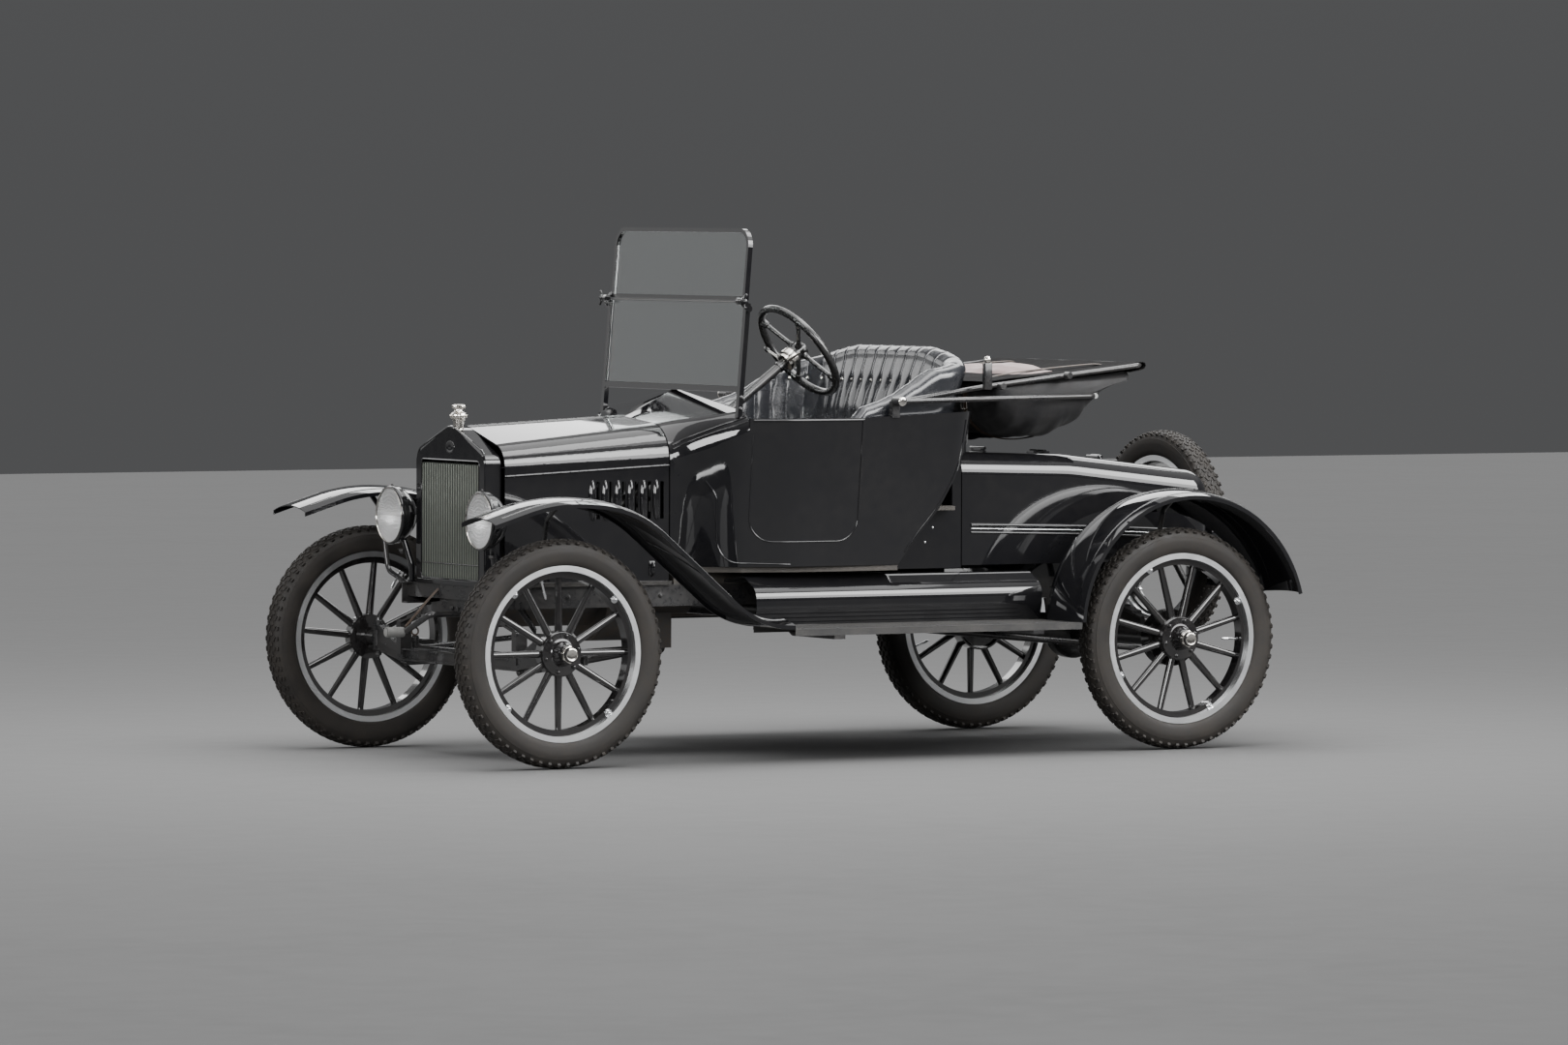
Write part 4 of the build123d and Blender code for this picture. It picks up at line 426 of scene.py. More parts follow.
def glassMaterial(name, color, rough):
    made, nodes, links = newMaterial(name,
                                     {"Base Color": (*color, 1), "Transmission Weight": 1.0, "IOR": 1.45})
    smears = groupNode(nodes, unevenTone, {"Scale": 3.0, "Rough Low": rough, "Rough High": rough + 0.03})
    links.new(smears.outputs["Roughness"], nodes["Principled BSDF"].inputs["Roughness"])
    return made


enamel = material("glossEnamel", (0.006, 0.006, 0.007), (0.018, 0.017, 0.016), 0.25, 3.0, (0.04, 0.09),
                  coat=0.8, specular=0.3)
chassisPaint = material("chassisPaint", (0.012, 0.012, 0.013), (0.05, 0.045, 0.04), 0.4, 9.0, (0.25, 0.42),
                        coat=0.3,
                        grain=260, bump=0.08)
wheelPaint = material("wheelPaint", (0.008, 0.0075, 0.008), (0.03, 0.027, 0.024), 0.3, 12.0, (0.09, 0.18),
                      coat=0.8,
                      lines=((6, 60, 6), 8.0), bump=0.05)
galvanised = material("galvanisedRim", (0.82, 0.83, 0.84), (0.7, 0.7, 0.69), 0.1, 26.0, (0.3, 0.36),
                      metal=1.0,
                      grain=420, bump=0.03)
rubber = material("treadRubber", (0.013, 0.0115, 0.0105), (0.032, 0.027, 0.022), 0.55, 14.0, (0.55, 0.74),
                  grain=520, bump=0.25, depth=0.0006, specular=0.3)
nickel = material("polishedNickel", (0.78, 0.75, 0.7), (0.45, 0.42, 0.38), 0.25, 40.0, (0.08, 0.22),
                  metal=1.0,
                  grain=300, bump=0.03)
brightSteel = material("brightTrim", (0.7, 0.71, 0.72), (0.35, 0.34, 0.33), 0.25, 30.0, (0.14, 0.28),
                       metal=1.0,
                       lines=((1, 1, 30), 30.0), bump=0.04)
finsMetal = material("radiatorFins", (0.04, 0.046, 0.04), (0.07, 0.075, 0.065), 0.5, 30.0, (0.35, 0.55),
                     metal=0.4,
                     lines=((1, 1, 40), 60.0), bump=0.2)
leather = material("blackLeather", (0.012, 0.013, 0.016), (0.045, 0.045, 0.048), 0.35, 10.0, (0.17, 0.29),
                   coat=0.4,
                   grain=420, bump=0.16, depth=0.0006)
# light grey thread: partly stitching, partly a painted highlight along the pleat edges
seamThreadPaintedHighlight = material("seamThreadPaintedHighlight", (0.3, 0.3, 0.31), (0.17, 0.17, 0.18), 0.5, 60.0, (0.45, 0.6), grain=900,
                      bump=0.2)
topFabric = material("topFabric", (0.009, 0.009, 0.01), (0.035, 0.033, 0.031), 0.4, 16.0, (0.45, 0.65),
                     grain=900, bump=0.35, depth=0.0005, sheen=0.05, specular=0.2)
roofFabric = material("roofFabric", (0.006, 0.006, 0.0065), (0.02, 0.019, 0.018), 0.4, 16.0, (0.75, 0.9),
                      grain=900, bump=0.3, depth=0.0005, specular=0.05)
liningFabric = material("liningFabric", (0.2, 0.125, 0.115), (0.11, 0.075, 0.07), 0.4, 22.0, (0.75, 0.9),
                        grain=900, bump=0.3, depth=0.0005, sheen=0.4)
bowWood = material("greyBow", (0.34, 0.34, 0.33), (0.18, 0.17, 0.16), 0.4, 20.0, (0.35, 0.55),
                   lines=((3, 60, 60), 3.0), bump=0.2)
shelfWood = material("shelfWood", (0.012, 0.011, 0.01), (0.05, 0.045, 0.04), 0.4, 14.0, (0.3, 0.5),
                     lines=((2, 40, 40), 4.0), bump=0.2)
floorWood = material("floorBoards", (0.03, 0.026, 0.022), (0.08, 0.07, 0.06), 0.5, 12.0, (0.55, 0.75),
                     lines=((2, 40, 40), 4.0), bump=0.3)
matRubber = material("stepRubber", (0.015, 0.015, 0.015), (0.06, 0.055, 0.05), 0.5, 12.0, (0.5, 0.7),
                     grain=500, bump=0.3)
gripRubber = material("wheelGrip", (0.01, 0.01, 0.01), (0.03, 0.03, 0.03), 0.3, 30.0, (0.22, 0.36), coat=0.4,
                      grain=300, bump=0.05)
castIron = material("engineIron", (0.1, 0.1, 0.1), (0.22, 0.16, 0.11), 0.45, 12.0, (0.5, 0.75), metal=0.6,
                    grain=220, bump=0.5)
pipeSteel = material("pipeSteel", (0.14, 0.12, 0.1), (0.24, 0.15, 0.1), 0.6, 14.0, (0.45, 0.65), metal=0.8,
                     grain=200, bump=0.2)
sealRubber = material("sealRubber", (0.16, 0.16, 0.16), (0.28, 0.27, 0.26), 0.4, 30.0, (0.5, 0.7), grain=500,
                      bump=0.2)
reflector = material("lampReflector", (0.94, 0.94, 0.94), (0.86, 0.86, 0.86), 0.2, 30.0, (0.38, 0.5),
                     metal=0.85)
strapLeather = material("strapLeather", (0.035, 0.022, 0.014), (0.09, 0.06, 0.04), 0.5, 40.0, (0.4, 0.6),
                        grain=600, bump=0.4)
# core tube fronts: grey-green, much lighter than the fins; partly the core's own colour, partly a painted
# highlight along the tube fronts
coreEdgePaintedHighlight = material("coreTubeEdgePaintedHighlight", (0.25, 0.27, 0.235), (0.14, 0.14, 0.12), 0.45, 34.0, (0.3, 0.45),
                    metal=0.5,
                    grain=300, bump=0.08)
rubberBlack = material("sealBlack", (0.012, 0.012, 0.012), (0.04, 0.04, 0.04), 0.4, 30.0, (0.5, 0.7),
                       grain=500, bump=0.2)
gripGrey = material("gripSleeve", (0.17, 0.17, 0.165), (0.3, 0.29, 0.27), 0.5, 26.0, (0.5, 0.7), grain=420,
                    bump=0.25)
bulbGlass = material("bulbGlass", (0.86, 0.86, 0.84), (0.7, 0.7, 0.68), 0.3, 40.0, (0.05, 0.12), coat=1.0)
paneGlass = glassMaterial("paneGlass", (0.86, 0.9, 0.89), 0.0)
lensGlass = glassMaterial("flutedLens", (0.99, 0.99, 0.99), 0.3)
redGlass = material("tailGlass", (0.5, 0.01, 0.01), (0.3, 0.005, 0.005), 0.3, 40.0, (0.08, 0.15), coat=1.0)

nodeMaterials = {
    enamel: ("front_fenders rear_fenders splash_aprons radiator_shell hood_top_left hood_top_right "
             "hood_side_left hood_side_right cowl body_tub door deck deck_lid windshield_frame "
             "windshield_upper headlamps hood_rod"),
    chassisPaint: ("frame fender_irons springs front_axle rear_axle knuckle_left knuckle_right tie_rod "
                   "pitman_arm spare_carrier top_irons controls crank steering_column"),
    matRubber: "running_boards",
    wheelPaint: "wheel_front_left wheel_front_right wheel_rear_left wheel_rear_right",
    galvanised: "rim_front_left rim_front_right rim_rear_left rim_rear_right rim_spare",
    finsMetal: "radiator_core",
    nickel: "radiator_cap",
    shelfWood: "hood_shelves",
    floorWood: "floor",
    castIron: "engine",
    pipeSteel: "exhaust",
    gripRubber: "steering_wheel",
    paneGlass: "windshield_glass windshield_upper_glass",
    lensGlass: "headlamp_lenses",
}
for finish, names in nodeMaterials.items():
    for name in names.split():
        node = frame["nodes"][name]
        node.data.materials.clear()
        node.data.materials.append(finish)
        activate(node)
        bpy.ops.object.shade_smooth_by_angle(angle=radians(32))
print("finishes made and put on the CAD nodes")

tyreSizes = dict(radius=0.399, halfWidth=0.0474, beadRadius=0.2925,
                 rows=(-0.027, -0.0135, 0.0, 0.0135, 0.027),
                 pitches=66, rowTilt=0.341, rowDrop=0.0046, slant=22, middleBlock=(0.0094, 0.0235, 0.0085),
                 sideBlock=(0.0094, 0.019, 0.0105), shoulderBlock=(0.0165, 0.0135, 0.0065))
hubSizes = dict(capRadius=0.0283, capFace=0.1008, boltCircle=0.065, flangeFace=0.0262, lugCircle=0.279,
                felloeFace=0.0222)
# columns: name, centre x, centre z, side of the car, angle of the first lug, angle of the valve
wheelTable = (
    ("front_left", frontAxleX, axleHeight, 1, 41.5, 104.5),
    ("front_right", frontAxleX, axleHeight, -1, 41.5, 60.0),
    ("rear_left", frontAxleX - wheelbase, axleHeight, 1, 27.5, -1.7),
    ("rear_right", frontAxleX - wheelbase, axleHeight, -1, 27.5, 200.0),
)


def treadRing(place, size, turn, shift=0.0):
    # a rubber block, shifted along the tread, then copied all round
    deselectAll()
    bpy.ops.mesh.primitive_cube_add(size=1, location=place)
    block = bpy.context.object
    block.scale, block.rotation_euler = size, turn
    bakePlace(block)
    editAll()
    bpy.ops.transform.rotate(value=-shift, orient_axis="Z", center_override=(0, 0, 0))
    leaveEdit()
    return aroundAxis(bevelled(block, 0.0011, 1), (0, 0, 0), (0, 0, 1), tyreSizes["pitches"])


def makeTyre():
    # carcass about the Z axis, then the rings of tread
    r, w, bead = tyreSizes["radius"], tyreSizes["halfWidth"], tyreSizes["beadRadius"]
    half = [(0.0315, bead), (0.0335, bead + 0.014), (0.0395, bead + 0.0175), (0.0425, bead + 0.022),
            (0.0455, r - 0.072), (w, r - 0.052), (w - 0.0006, r - 0.042), (w - 0.003, r - 0.031),
            (w - 0.0042, r - 0.0305), (w - 0.0075, r - 0.022), (w - 0.0125, r - 0.0135),
            (w - 0.0195, r - 0.0082), (w - 0.03, r - 0.0052), (w - 0.0405, r - 0.0042)]
    outline = half + [(-y, radius) for y, radius in reversed(half)]
    outline.append(outline[0])
    rings = [turned(outline, sides=144, closed=True)]
    for index, row in enumerate(tyreSizes["rows"]):
        share = row / tyreSizes["rows"][-1]
        size = tyreSizes["sideBlock" if row else "middleBlock"]
        turn = (radians(tyreSizes["slant"] * (1 if index % 2 else -1)), -tyreSizes["rowTilt"] * share, 0)
        rings.append(treadRing((r - 0.0048 - tyreSizes["rowDrop"] * share ** 2, 0, row), size, turn,
                               (index % 2) * pi / tyreSizes["pitches"]))
    for side in (1, -1):
        rings.append(treadRing((r - 0.0175, 0, side * 0.0378), tyreSizes["shoulderBlock"],
                               (0, -side * 0.62, 0)))
    return joinPieces(rings)


tyreMaster = makeTyre()
for name, x, z, side, lugAngle, valveAngle in wheelTable:
    tyre = placed(copyOf(tyreMaster), (x, side * wheelHalf, z), (0, side, 0))
    finished(tyre, f"treadTyre_{name}", rubber, f"wheel_{name}", smooth=30)
    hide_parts(f"tyre_{name}")
spareTyre = placed(tyreMaster, (-1.62338, 0, 0.728), (1, 0, 0))
finished(spareTyre, "treadTyre_spare", rubber, smooth=30)
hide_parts("tyre_spare")
print("tyres made")


def onFace(x, z, angle, radius):
    # a point of a wheel's face seen from the left, the angle counted from the rear, upwards
    return x - radius * cos(radians(angle)), z + radius * sin(radians(angle))


def makeHub(name, x, z, side):
    face = hubSizes["flangeFace"]
    origin = (x, side * wheelHalf, z)
    reach, capFace = hubSizes["capRadius"], hubSizes["capFace"]
    cap = turned([(0.077, reach - 0.001), (0.078, reach), (0.087, reach), (0.088, reach - 0.001),
                  (0.096, reach - 0.0014),
                  (capFace - 0.0012, reach - 0.0042), (capFace, reach - 0.0085),
                  (capFace - 0.0006, reach - 0.01),
                  (capFace - 0.0006, 0.004)], origin, (0, side, 0), 40)
    nut = turned([(0.079, 0.0318), (0.0858, 0.0318), (0.0864, 0.03)], origin, (0, side, 0), 6)
    finished([cap, nut], f"hubCap_{name}", nickel, f"wheel_{name}", smooth=25)
    bolts = []
    for index in range(6):
        bx, bz = onFace(x, z, 60 * index + 15, hubSizes["boltCircle"])
        bolts.append(hexBolt((bx, side * (wheelHalf + face), bz), (0, side, 0), 0.0135, 0.0062))
    rings = turned([(face - 0.001, 0.0762), (face + 0.0012, 0.0762), (face + 0.0016, 0.0745),
                    (face + 0.0016, 0.054),
                    (face + 0.004, 0.046), (face + 0.012, 0.04), (face + 0.04, 0.0345),
                    (face + 0.04, 0.033)], origin,
                   (0, side, 0), 40)
    return finished([rings] + bolts, f"hubFlange_{name}", wheelPaint, f"wheel_{name}", smooth=30)


stemProfile = [(0, 0.0058), (0.006, 0.0058), (0.007, 0.0042), (0.04, 0.0042), (0.041, 0.005), (0.06, 0.005),
               (0.062, 0.0036), (0.066, 0.0034)]


def lugAt(spot, axis, foot=0):
    # a clamp plate of the rim with its bolt
    plate = turned([(foot, 0.0135), (0.003, 0.0135), (0.0045, 0.0115), (0.0045, 0.005)], spot, axis, 20)
    return [plate, hexBolt(spot + Vector(axis) * 0.0045, axis, 0.0115, 0.006)]


def makeLugs(name, x, z, side, lugAngle, valveAngle):
    pieces = []
    for index in range(4):
        lx, lz = onFace(x, z, lugAngle + 90 * index, hubSizes["lugCircle"])
        pieces += lugAt(Vector((lx, side * (wheelHalf + hubSizes["felloeFace"]), lz)), (0, side, 0))
    (vx, vz), inner = onFace(x, z, valveAngle, 0.262), onFace(x, z, valveAngle, 0.196)
    stem = turned(stemProfile, (vx, side * wheelHalf, vz), (inner[0] - vx, 0, inner[1] - vz), 12)
    return finished(pieces + [stem], f"rimLugs_{name}", brightSteel, f"wheel_{name}", smooth=30)


for name, x, z, side, lugAngle, valveAngle in wheelTable:
    makeHub(name, x, z, side)
    makeLugs(name, x, z, side, lugAngle, valveAngle)
print("hubs and rim lugs made")

lampSizes = dict(x=1.41962, out=0.336, height=0.848, ring=0.1045, flutes=15, lensRadius=0.0952)
for side, label in bothSides:
    centre = Vector((lampSizes["x"], side * lampSizes["out"], lampSizes["height"]))
    bezel = turned([(-0.011, 0.1012), (-0.0115, 0.103), (-0.008, lampSizes["ring"]),
                    (-0.001, lampSizes["ring"]),
                    (0.0028, 0.102), (0.004, 0.0985), (0.003, 0.096), (0.0006, 0.0952), (-0.0006, 0.0958),
                    (-0.0006, 0.1012)], centre, (1, 0, 0), 72, closed=True)
    finished(bezel, f"lampRing_{label}", enamel, smooth=50)
    rim = turned([(0.0026, 0.0985), (0.0046, 0.0978), (0.0046, 0.0958), (0.0022, 0.0949), (0.0008, 0.096),
                  (0.0026, 0.0985)],
                 centre, (1, 0, 0), 72, closed=True)
    finished(rim, f"lampBrightRing_{label}", nickel, smooth=50)
    bowl = turned([(-0.003, 0.0945), (-0.012, 0.0925), (-0.028, 0.083), (-0.044, 0.068), (-0.058, 0.049),
                   (-0.068, 0.026), (-0.071, 0.012), (-0.0722, 0.012), (-0.0692, 0.027), (-0.0592, 0.0505),
                   (-0.0452, 0.0695), (-0.029, 0.0845), (-0.0125, 0.094), (-0.003, 0.0957)],
                  centre, (1, 0, 0), 64, closed=True)
    finished(bowl, f"lampReflector_{label}", reflector, smooth=60)
    bulb = turned([(-0.0705, 0.01), (-0.056, 0.01), (-0.054, 0.0115), (-0.05, 0.0125), (-0.04, 0.0135),
                   (-0.032, 0.012), (-0.0275, 0.008), (-0.026, 0.003)], centre, (1, 0, 0), 24)
    finished(bulb, f"lampBulb_{label}", bulbGlass, smooth=60)
    # the lens: a disc of upright flutes, pressed in glass
    deselectAll()
    bpy.ops.mesh.primitive_grid_add(x_subdivisions=26, y_subdivisions=lampSizes["flutes"] * 8, size=2)
    lens = bpy.context.object
    for point in lens.data.vertices:
        # the square grid is drawn into a disc
        u, v = point.co.x, point.co.y
        reach = max(abs(u), abs(v)) / hypot(u, v) * lampSizes["lensRadius"] if hypot(u, v) > 0 else 0
        flute = abs(sin(pi * v * lampSizes["flutes"] / 2))
        edge = max(0.0, 1 - max(abs(u), abs(v)) ** 8)
        point.co = (u * reach, v * reach, 0.0012 + 0.0026 * edge + 0.0014 * flute * edge)
    solid = lens.modifiers.new("pane", "SOLIDIFY")
    solid.thickness, solid.offset = 0.0022, -1
    applyAll(lens)
    lens = placed(lens, centre - Vector((0.0015, 0, 0)), (1, 0, 0))
    finished(recalculated(lens), f"lampLens_{label}", lensGlass, smooth=60)
    clampNut = hexBolt(centre + Vector((-0.05, 0, -0.121)), (0, 0, -1), 0.022, 0.01)
    tieNut = hexBolt(centre + Vector((-0.01, 0, 0.1055)), (0, 0, 1), 0.009, 0.004)
    finished([clampNut, tieNut], f"lampNuts_{label}", chassisPaint, smooth=30)
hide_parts("headlamp_lenses")
print("headlamps made")

coreSizes = dict(face=frontAxleX + 0.0387, low=0.634, high=1.038, half=0.2125, tubes=24, rodHeight=0.6855,
                 fins=66, finPitch=0.0061)


def stackOf(bar, axis, start, pitch, count):
    # copies of a bar at even steps, in place of the bar itself
    row = []
    for index in range(count):
        twin = copyOf(bar)
        twin.location[axis] = start + pitch * index
        row.append(bakePlace(twin))
    bpy.data.objects.remove(bar, do_unlink=True)
    return joinPieces(row)


# the core: flat tubes in front, with a stack of thin fins behind them
x, half = coreSizes["face"], coreSizes["half"]
tube = boxAt((x - 0.006, -0.0016, coreSizes["low"]), (x + 0.0022, 0.0016, coreSizes["high"]), 0.0007)
tubes = stackOf(tube, 1, -half, 2 * half / coreSizes["tubes"], coreSizes["tubes"] + 1)
# the tubes' lighter colour is partly a painted highlight on their fronts
finished(tubes, "coreTubes", coreEdgePaintedHighlight, smooth=30)
fin = boxAt((x - 0.009, -half, -0.00035), (x - 0.0015, half, 0.00035))
fins = stackOf(fin, 2, coreSizes["low"] + 0.004, coreSizes["finPitch"], coreSizes["fins"])
finished(fins, "coreFins", finsMetal, smooth=30)

shellSizes = dict(front=frontAxleX + 0.045, windowHalf=0.214, windowTop=1.052, windowLow=0.632,
                  rimHalf=0.25, rimLow=0.628, rimShoulder=1.083, rimPeak=1.1775)
front, windowHalf = shellSizes["front"], shellSizes["windowHalf"]
lipX, windowLow, windowTop = front - 0.001, shellSizes["windowLow"], shellSizes["windowTop"]
lip = wire(rounded([(lipX, 0, windowLow), (lipX, windowHalf, windowLow), (lipX, windowHalf, windowTop),
                    (lipX, -windowHalf, windowTop), (lipX, -windowHalf, windowLow), (lipX, 0, windowLow)],
                   0.014), 0.0028, sides=2)
rimX, rimHalf, rimShoulder = front - 0.004, shellSizes["rimHalf"], shellSizes["rimShoulder"]
rimPoints = rounded([(rimX, rimHalf, shellSizes["rimLow"]), (rimX, rimHalf, rimShoulder),
                     (rimX, 0, shellSizes["rimPeak"]), (rimX, -rimHalf, rimShoulder),
                     (rimX, -rimHalf, shellSizes["rimLow"])], 0.036)
rimBead = wire(rimPoints, 0.0035, sides=2)
trayLip = boxAt((front - 0.055, -0.245, 0.6245), (front + 0.001, 0.245, 0.6285), 0.0015)
finished([lip, rimBead, trayLip], "shellBeads", enamel)
badge = turned([(0, 0.022), (0.0016, 0.0215), (0.0024, 0.019), (0.0018, 0.0175), (0.0026, 0.006)],
               (front, 0, 1.098), (1, 0, 0), 40)
badge.scale.y = 1.45
finished(bakePlace(badge), "shellBadgeBlank", enamel)
crossRod = wire([(front - 0.003, -windowHalf, coreSizes["rodHeight"]),
                 (front - 0.003, windowHalf, coreSizes["rodHeight"])], 0.0022, sides=2)
finished(crossRod, "coreRod", chassisPaint)

# the cap: a knurled base, a waist and a top with lobes to turn it by
capX = frontAxleX + 0.011
capBase = turned([(1.196, 0.0215), (1.2, 0.029), (1.204, 0.03), (1.212, 0.03), (1.216, 0.0285), (1.22, 0.019),
                  (1.228, 0.015), (1.236, 0.016), (1.24, 0.0185), (1.246, 0.019), (1.2475, 0.017),
                  (1.2485, 0.006)],
                 (capX, 0, 0), (0, 0, 1), 48)
lobes = []
for index in range(4):
    lx, ly = capX + 0.0205 * cos(pi / 2 * index + 0.4), 0.0205 * sin(pi / 2 * index + 0.4)
    lobes.append(turned([(1.2325, 0.004), (1.2345, 0.0078), (1.24, 0.009), (1.245, 0.0078), (1.247, 0.0035)],
                        (lx, ly, 0), (0, 0, 1), 20))
ridge = boxAt((capX + 0.0292, -0.0008, 1.2035), (capX + 0.0309, 0.0008, 1.2125), 0.0004)
ridges = aroundAxis(ridge, (capX, 0, 0), (0, 0, 1), 36)
neck = turned([(1.166, 0.02), (1.19, 0.02), (1.192, 0.0235), (1.198, 0.0235)], (capX, 0, 0), (0, 0, 1), 40)
finished([capBase, neck, ridges] + lobes, "fillerCap", nickel, smooth=45)
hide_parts("radiator_cap")
print("radiator dressed")

# hood: hinge rods, latches and the pressed lips of the louvres
hoodSizes = dict(firstSlot=0.372, slotPitch=0.049, slots=6, slotTop=0.978, slotLength=0.132, knuckles=16,
                 sideKnuckles=18, latches=(0.105, 0.59), handle=(0.2, 0.725))


def hingeRow(start, end, count, gap, profile, sides):
    # short tubes in a row between two places; the profile is given for a length
    tubes = []
    for index in range(count):
        low, high = start.lerp(end, (index + gap) / count), start.lerp(end, (index + 1 - gap) / count)
        tubes.append(turned(profile((high - low).length), low, high - low, sides))
    return joinPieces(tubes)


def topKnuckle(length):
    return [(0, 0.005), (0.0006, 0.0056), (length - 0.0006, 0.0056), (length, 0.005)]


def sidePin(length):
    return [(0, 0.004), (length, 0.004)]


hingeFront, hingeRear = Vector((aft(0.024), 0, 1.1685)), Vector((aft(0.658), 0, 1.2003))
knuckles = hingeRow(hingeFront, hingeRear, hoodSizes["knuckles"], 0.08, topKnuckle, 16)
finished(knuckles, "hoodHingeKnuckles", enamel)
for side, label in bothSides:
    sideNode = f"hood_side_{label}"
    lips = []
    for index in range(hoodSizes["slots"]):
        slotAft = hoodSizes["firstSlot"] + hoodSizes["slotPitch"] * index
        middle = hoodSizes["slotTop"] - hoodSizes["slotLength"] / 2
        hit = sideHit([sideNode], slotAft - 0.01, middle, side, 0.6)
        deselectAll()
        bpy.ops.mesh.primitive_uv_sphere_add(segments=24, ring_count=12, radius=1)
        lip = bpy.context.object
        lip.scale = (0.0155, 0.0105, hoodSizes["slotLength"] / 2 + 0.006)
        bakePlace(lip)
        editAll()
        bpy.ops.mesh.bisect(plane_co=(0, 0, 0), plane_no=(0, 1, 0), clear_inner=True, use_fill=False)
        bpy.ops.mesh.select_all(action="SELECT")
        bpy.ops.mesh.bisect(plane_co=(-0.0035, 0, 0), plane_no=(1, 0, 0), clear_inner=True, use_fill=False)
        leaveEdit()
        wall = lip.modifiers.new("wall", "SOLIDIFY")
        wall.thickness, wall.offset = 0.0012, -1
        applyAll(lip)
        if side < 0:
            lip.scale.y = -1
            bakePlace(lip)
            recalculated(lip)
        lip.location = hit[0]
        lips.append(bakePlace(lip))
    finished(lips, f"louvreLips_{label}", enamel, sideNode, smooth=50)
    # a spring latch near each end of the panel, and a lifting handle between them
    latches = []
    for latchAft in hoodSizes["latches"]:
        place = sideHit([sideNode], latchAft, 0.668, side, 0.6)[0]
        plate = boxAt(place + Vector((-0.011, -0.002, -0.022)), place + Vector((0.011, 0.0035, 0.028)),
                      0.0015)
        if side < 0:
            plate.location.y = -0.0015
            bakePlace(plate)
        hook = barFrom(place, ((0, 0.004, 0.024), (0, 0.017, 0.016), (0, 0.017, -0.012), (0, 0.005, -0.024)),
                       0.01, 0.0034, side)
        latches += [plate, hook, rivet(place + Vector((0, side * 0.0035, 0.021)), (0, side, 0), 0.003)]
    place = sideHit([sideNode], *hoodSizes["handle"], side, 0.6)[0]
    handle = barFrom(place, ((0.045, 0, 0), (0.038, 0.026, 0), (-0.038, 0.026, 0), (-0.045, 0, 0)), 0.016,
                     0.0045, side)
    finished(latches + [handle], f"hoodLatches_{label}", enamel, sideNode)
    start, end = Vector((aft(0.03), side * 0.272, 1.0)), Vector((aft(0.653), side * 0.33, 1.034))
    pins = hingeRow(start, end, hoodSizes["sideKnuckles"], 0.1, sidePin, 12)
    finished(pins, f"hoodSideHinge_{label}", enamel, f"hood_top_{label}")
print("hood dressed")

# body: raised lines where the sheets are swaged, on the places the side shows them
sideLines = {
    # columns: radius, points of distance aft and height
    "sideSwage": (0.003, [(0.759, 0.98), (0.788, 0.93), (0.792, 0.745), (0.824, 0.69), (1.03, 0.684)]),
    "doorSwage": (0.0026,
                  [(0.881, 1.15), (0.881, 0.815), (0.93, 0.764), (1.245, 0.764), (1.295, 0.815),
                   (1.297, 1.15)]),
    "doorEdge": (0.0045, [(1.296, 0.835), (1.297, 1.196)]),
    "cowlRail": (0.0042, [(0.672, 1.104), (0.714, 1.129), (0.764, 1.157), (0.8, 1.178), (0.866, 1.206)]),
    "cowlRailLower": (0.003, [(0.672, 1.091), (0.714, 1.115), (0.764, 1.143), (0.8, 1.163), (0.866, 1.19)]),
    "tailBead": (0.0036,
                 [(1.5, 0.722), (1.552, 0.79), (1.628, 0.876), (1.692, 0.985), (1.722, 1.066),
                  (1.736, 1.19)]),
}
bodyNodes = ["body_tub", "cowl", "door"]
for name, (radius, points) in sideLines.items():
    for side, label in bothSides:
        if side < 0 and name in ("doorSwage", "doorEdge"):
            continue  # the real door is on the right
        bead = wire(projectedLine(bodyNodes, rounded(points, 0.05), side), radius, sides=2)
        finished(bead, f"{name}_{label}", enamel, smooth=50)
doorPoints = ((0.884, 1.19), (0.884, 0.775), (0.93, 0.724), (1.19, 0.724), (1.24, 0.775), (1.24, 1.19))
doorLine = projectedLine(["door"], rounded(doorPoints, 0.05), -1)
finished(wire(doorLine, 0.0026, sides=2), "doorPanelSwage", enamel, "door", smooth=50)
# the rail along the top edge: on the right it belongs to the door
railSizes = dict(first=0.88, step=0.015, steps=29, highest=1.245, fall=0.002, tries=50, below=0.007)
for side, label, railNodes, railBody in ((1, "left", bodyNodes, "car"), (-1, "right", ["door"], "door")):
    edge = []
    for step in range(railSizes["steps"]):
        place = railSizes["first"] + railSizes["step"] * step
        for drop in range(railSizes["tries"]):
            height = railSizes["highest"] - railSizes["fall"] * drop
            hit = sideHit(railNodes, place, height, side)
            if hit and hit[0].y * side > 0.3:
                edge.append((place, height - railSizes["below"]))
                break
    rail = projectedLine(railNodes, edge, side)
    finished(wire(rail, 0.0042, sides=2), f"beltRail_{label}", enamel, railBody, smooth=50)
rivets = []
for side in (1, -1):
    for aftPlace, height in ((1.716, 0.935), (1.7, 0.871), (1.672, 0.802), (1.64, 0.75)):
        hit = sideHit(bodyNodes, aftPlace, height, side)
        if hit:
            rivets.append(rivet(hit[0], hit[1], 0.0042, 0.0022))
finished(rivets, "bodyRivets", brightSteel)

# mouldings along the deck's side, with a bright line between them
deckLines = {
    "deckMouldings": (enamel, "gloss_black", ((0.0055, [(1.832, 0.809), (2.3, 0.797), (2.76, 0.776)]),
                                              (0.0042, [(1.832, 0.782), (2.3, 0.769), (2.76, 0.749)]))),
    "deckBrightLine": (brightSteel, "nickel", ((0.0022, [(1.834, 0.7955), (2.3, 0.783), (2.755, 0.7625)]),)),
}
for name, (finish, slot, table) in deckLines.items():
    bars = [wire(projectedLine(["deck"], points, side), radius, sides=2)
            for side in (1, -1) for radius, points in table]
    finished(bars, name, finish, smooth=50)

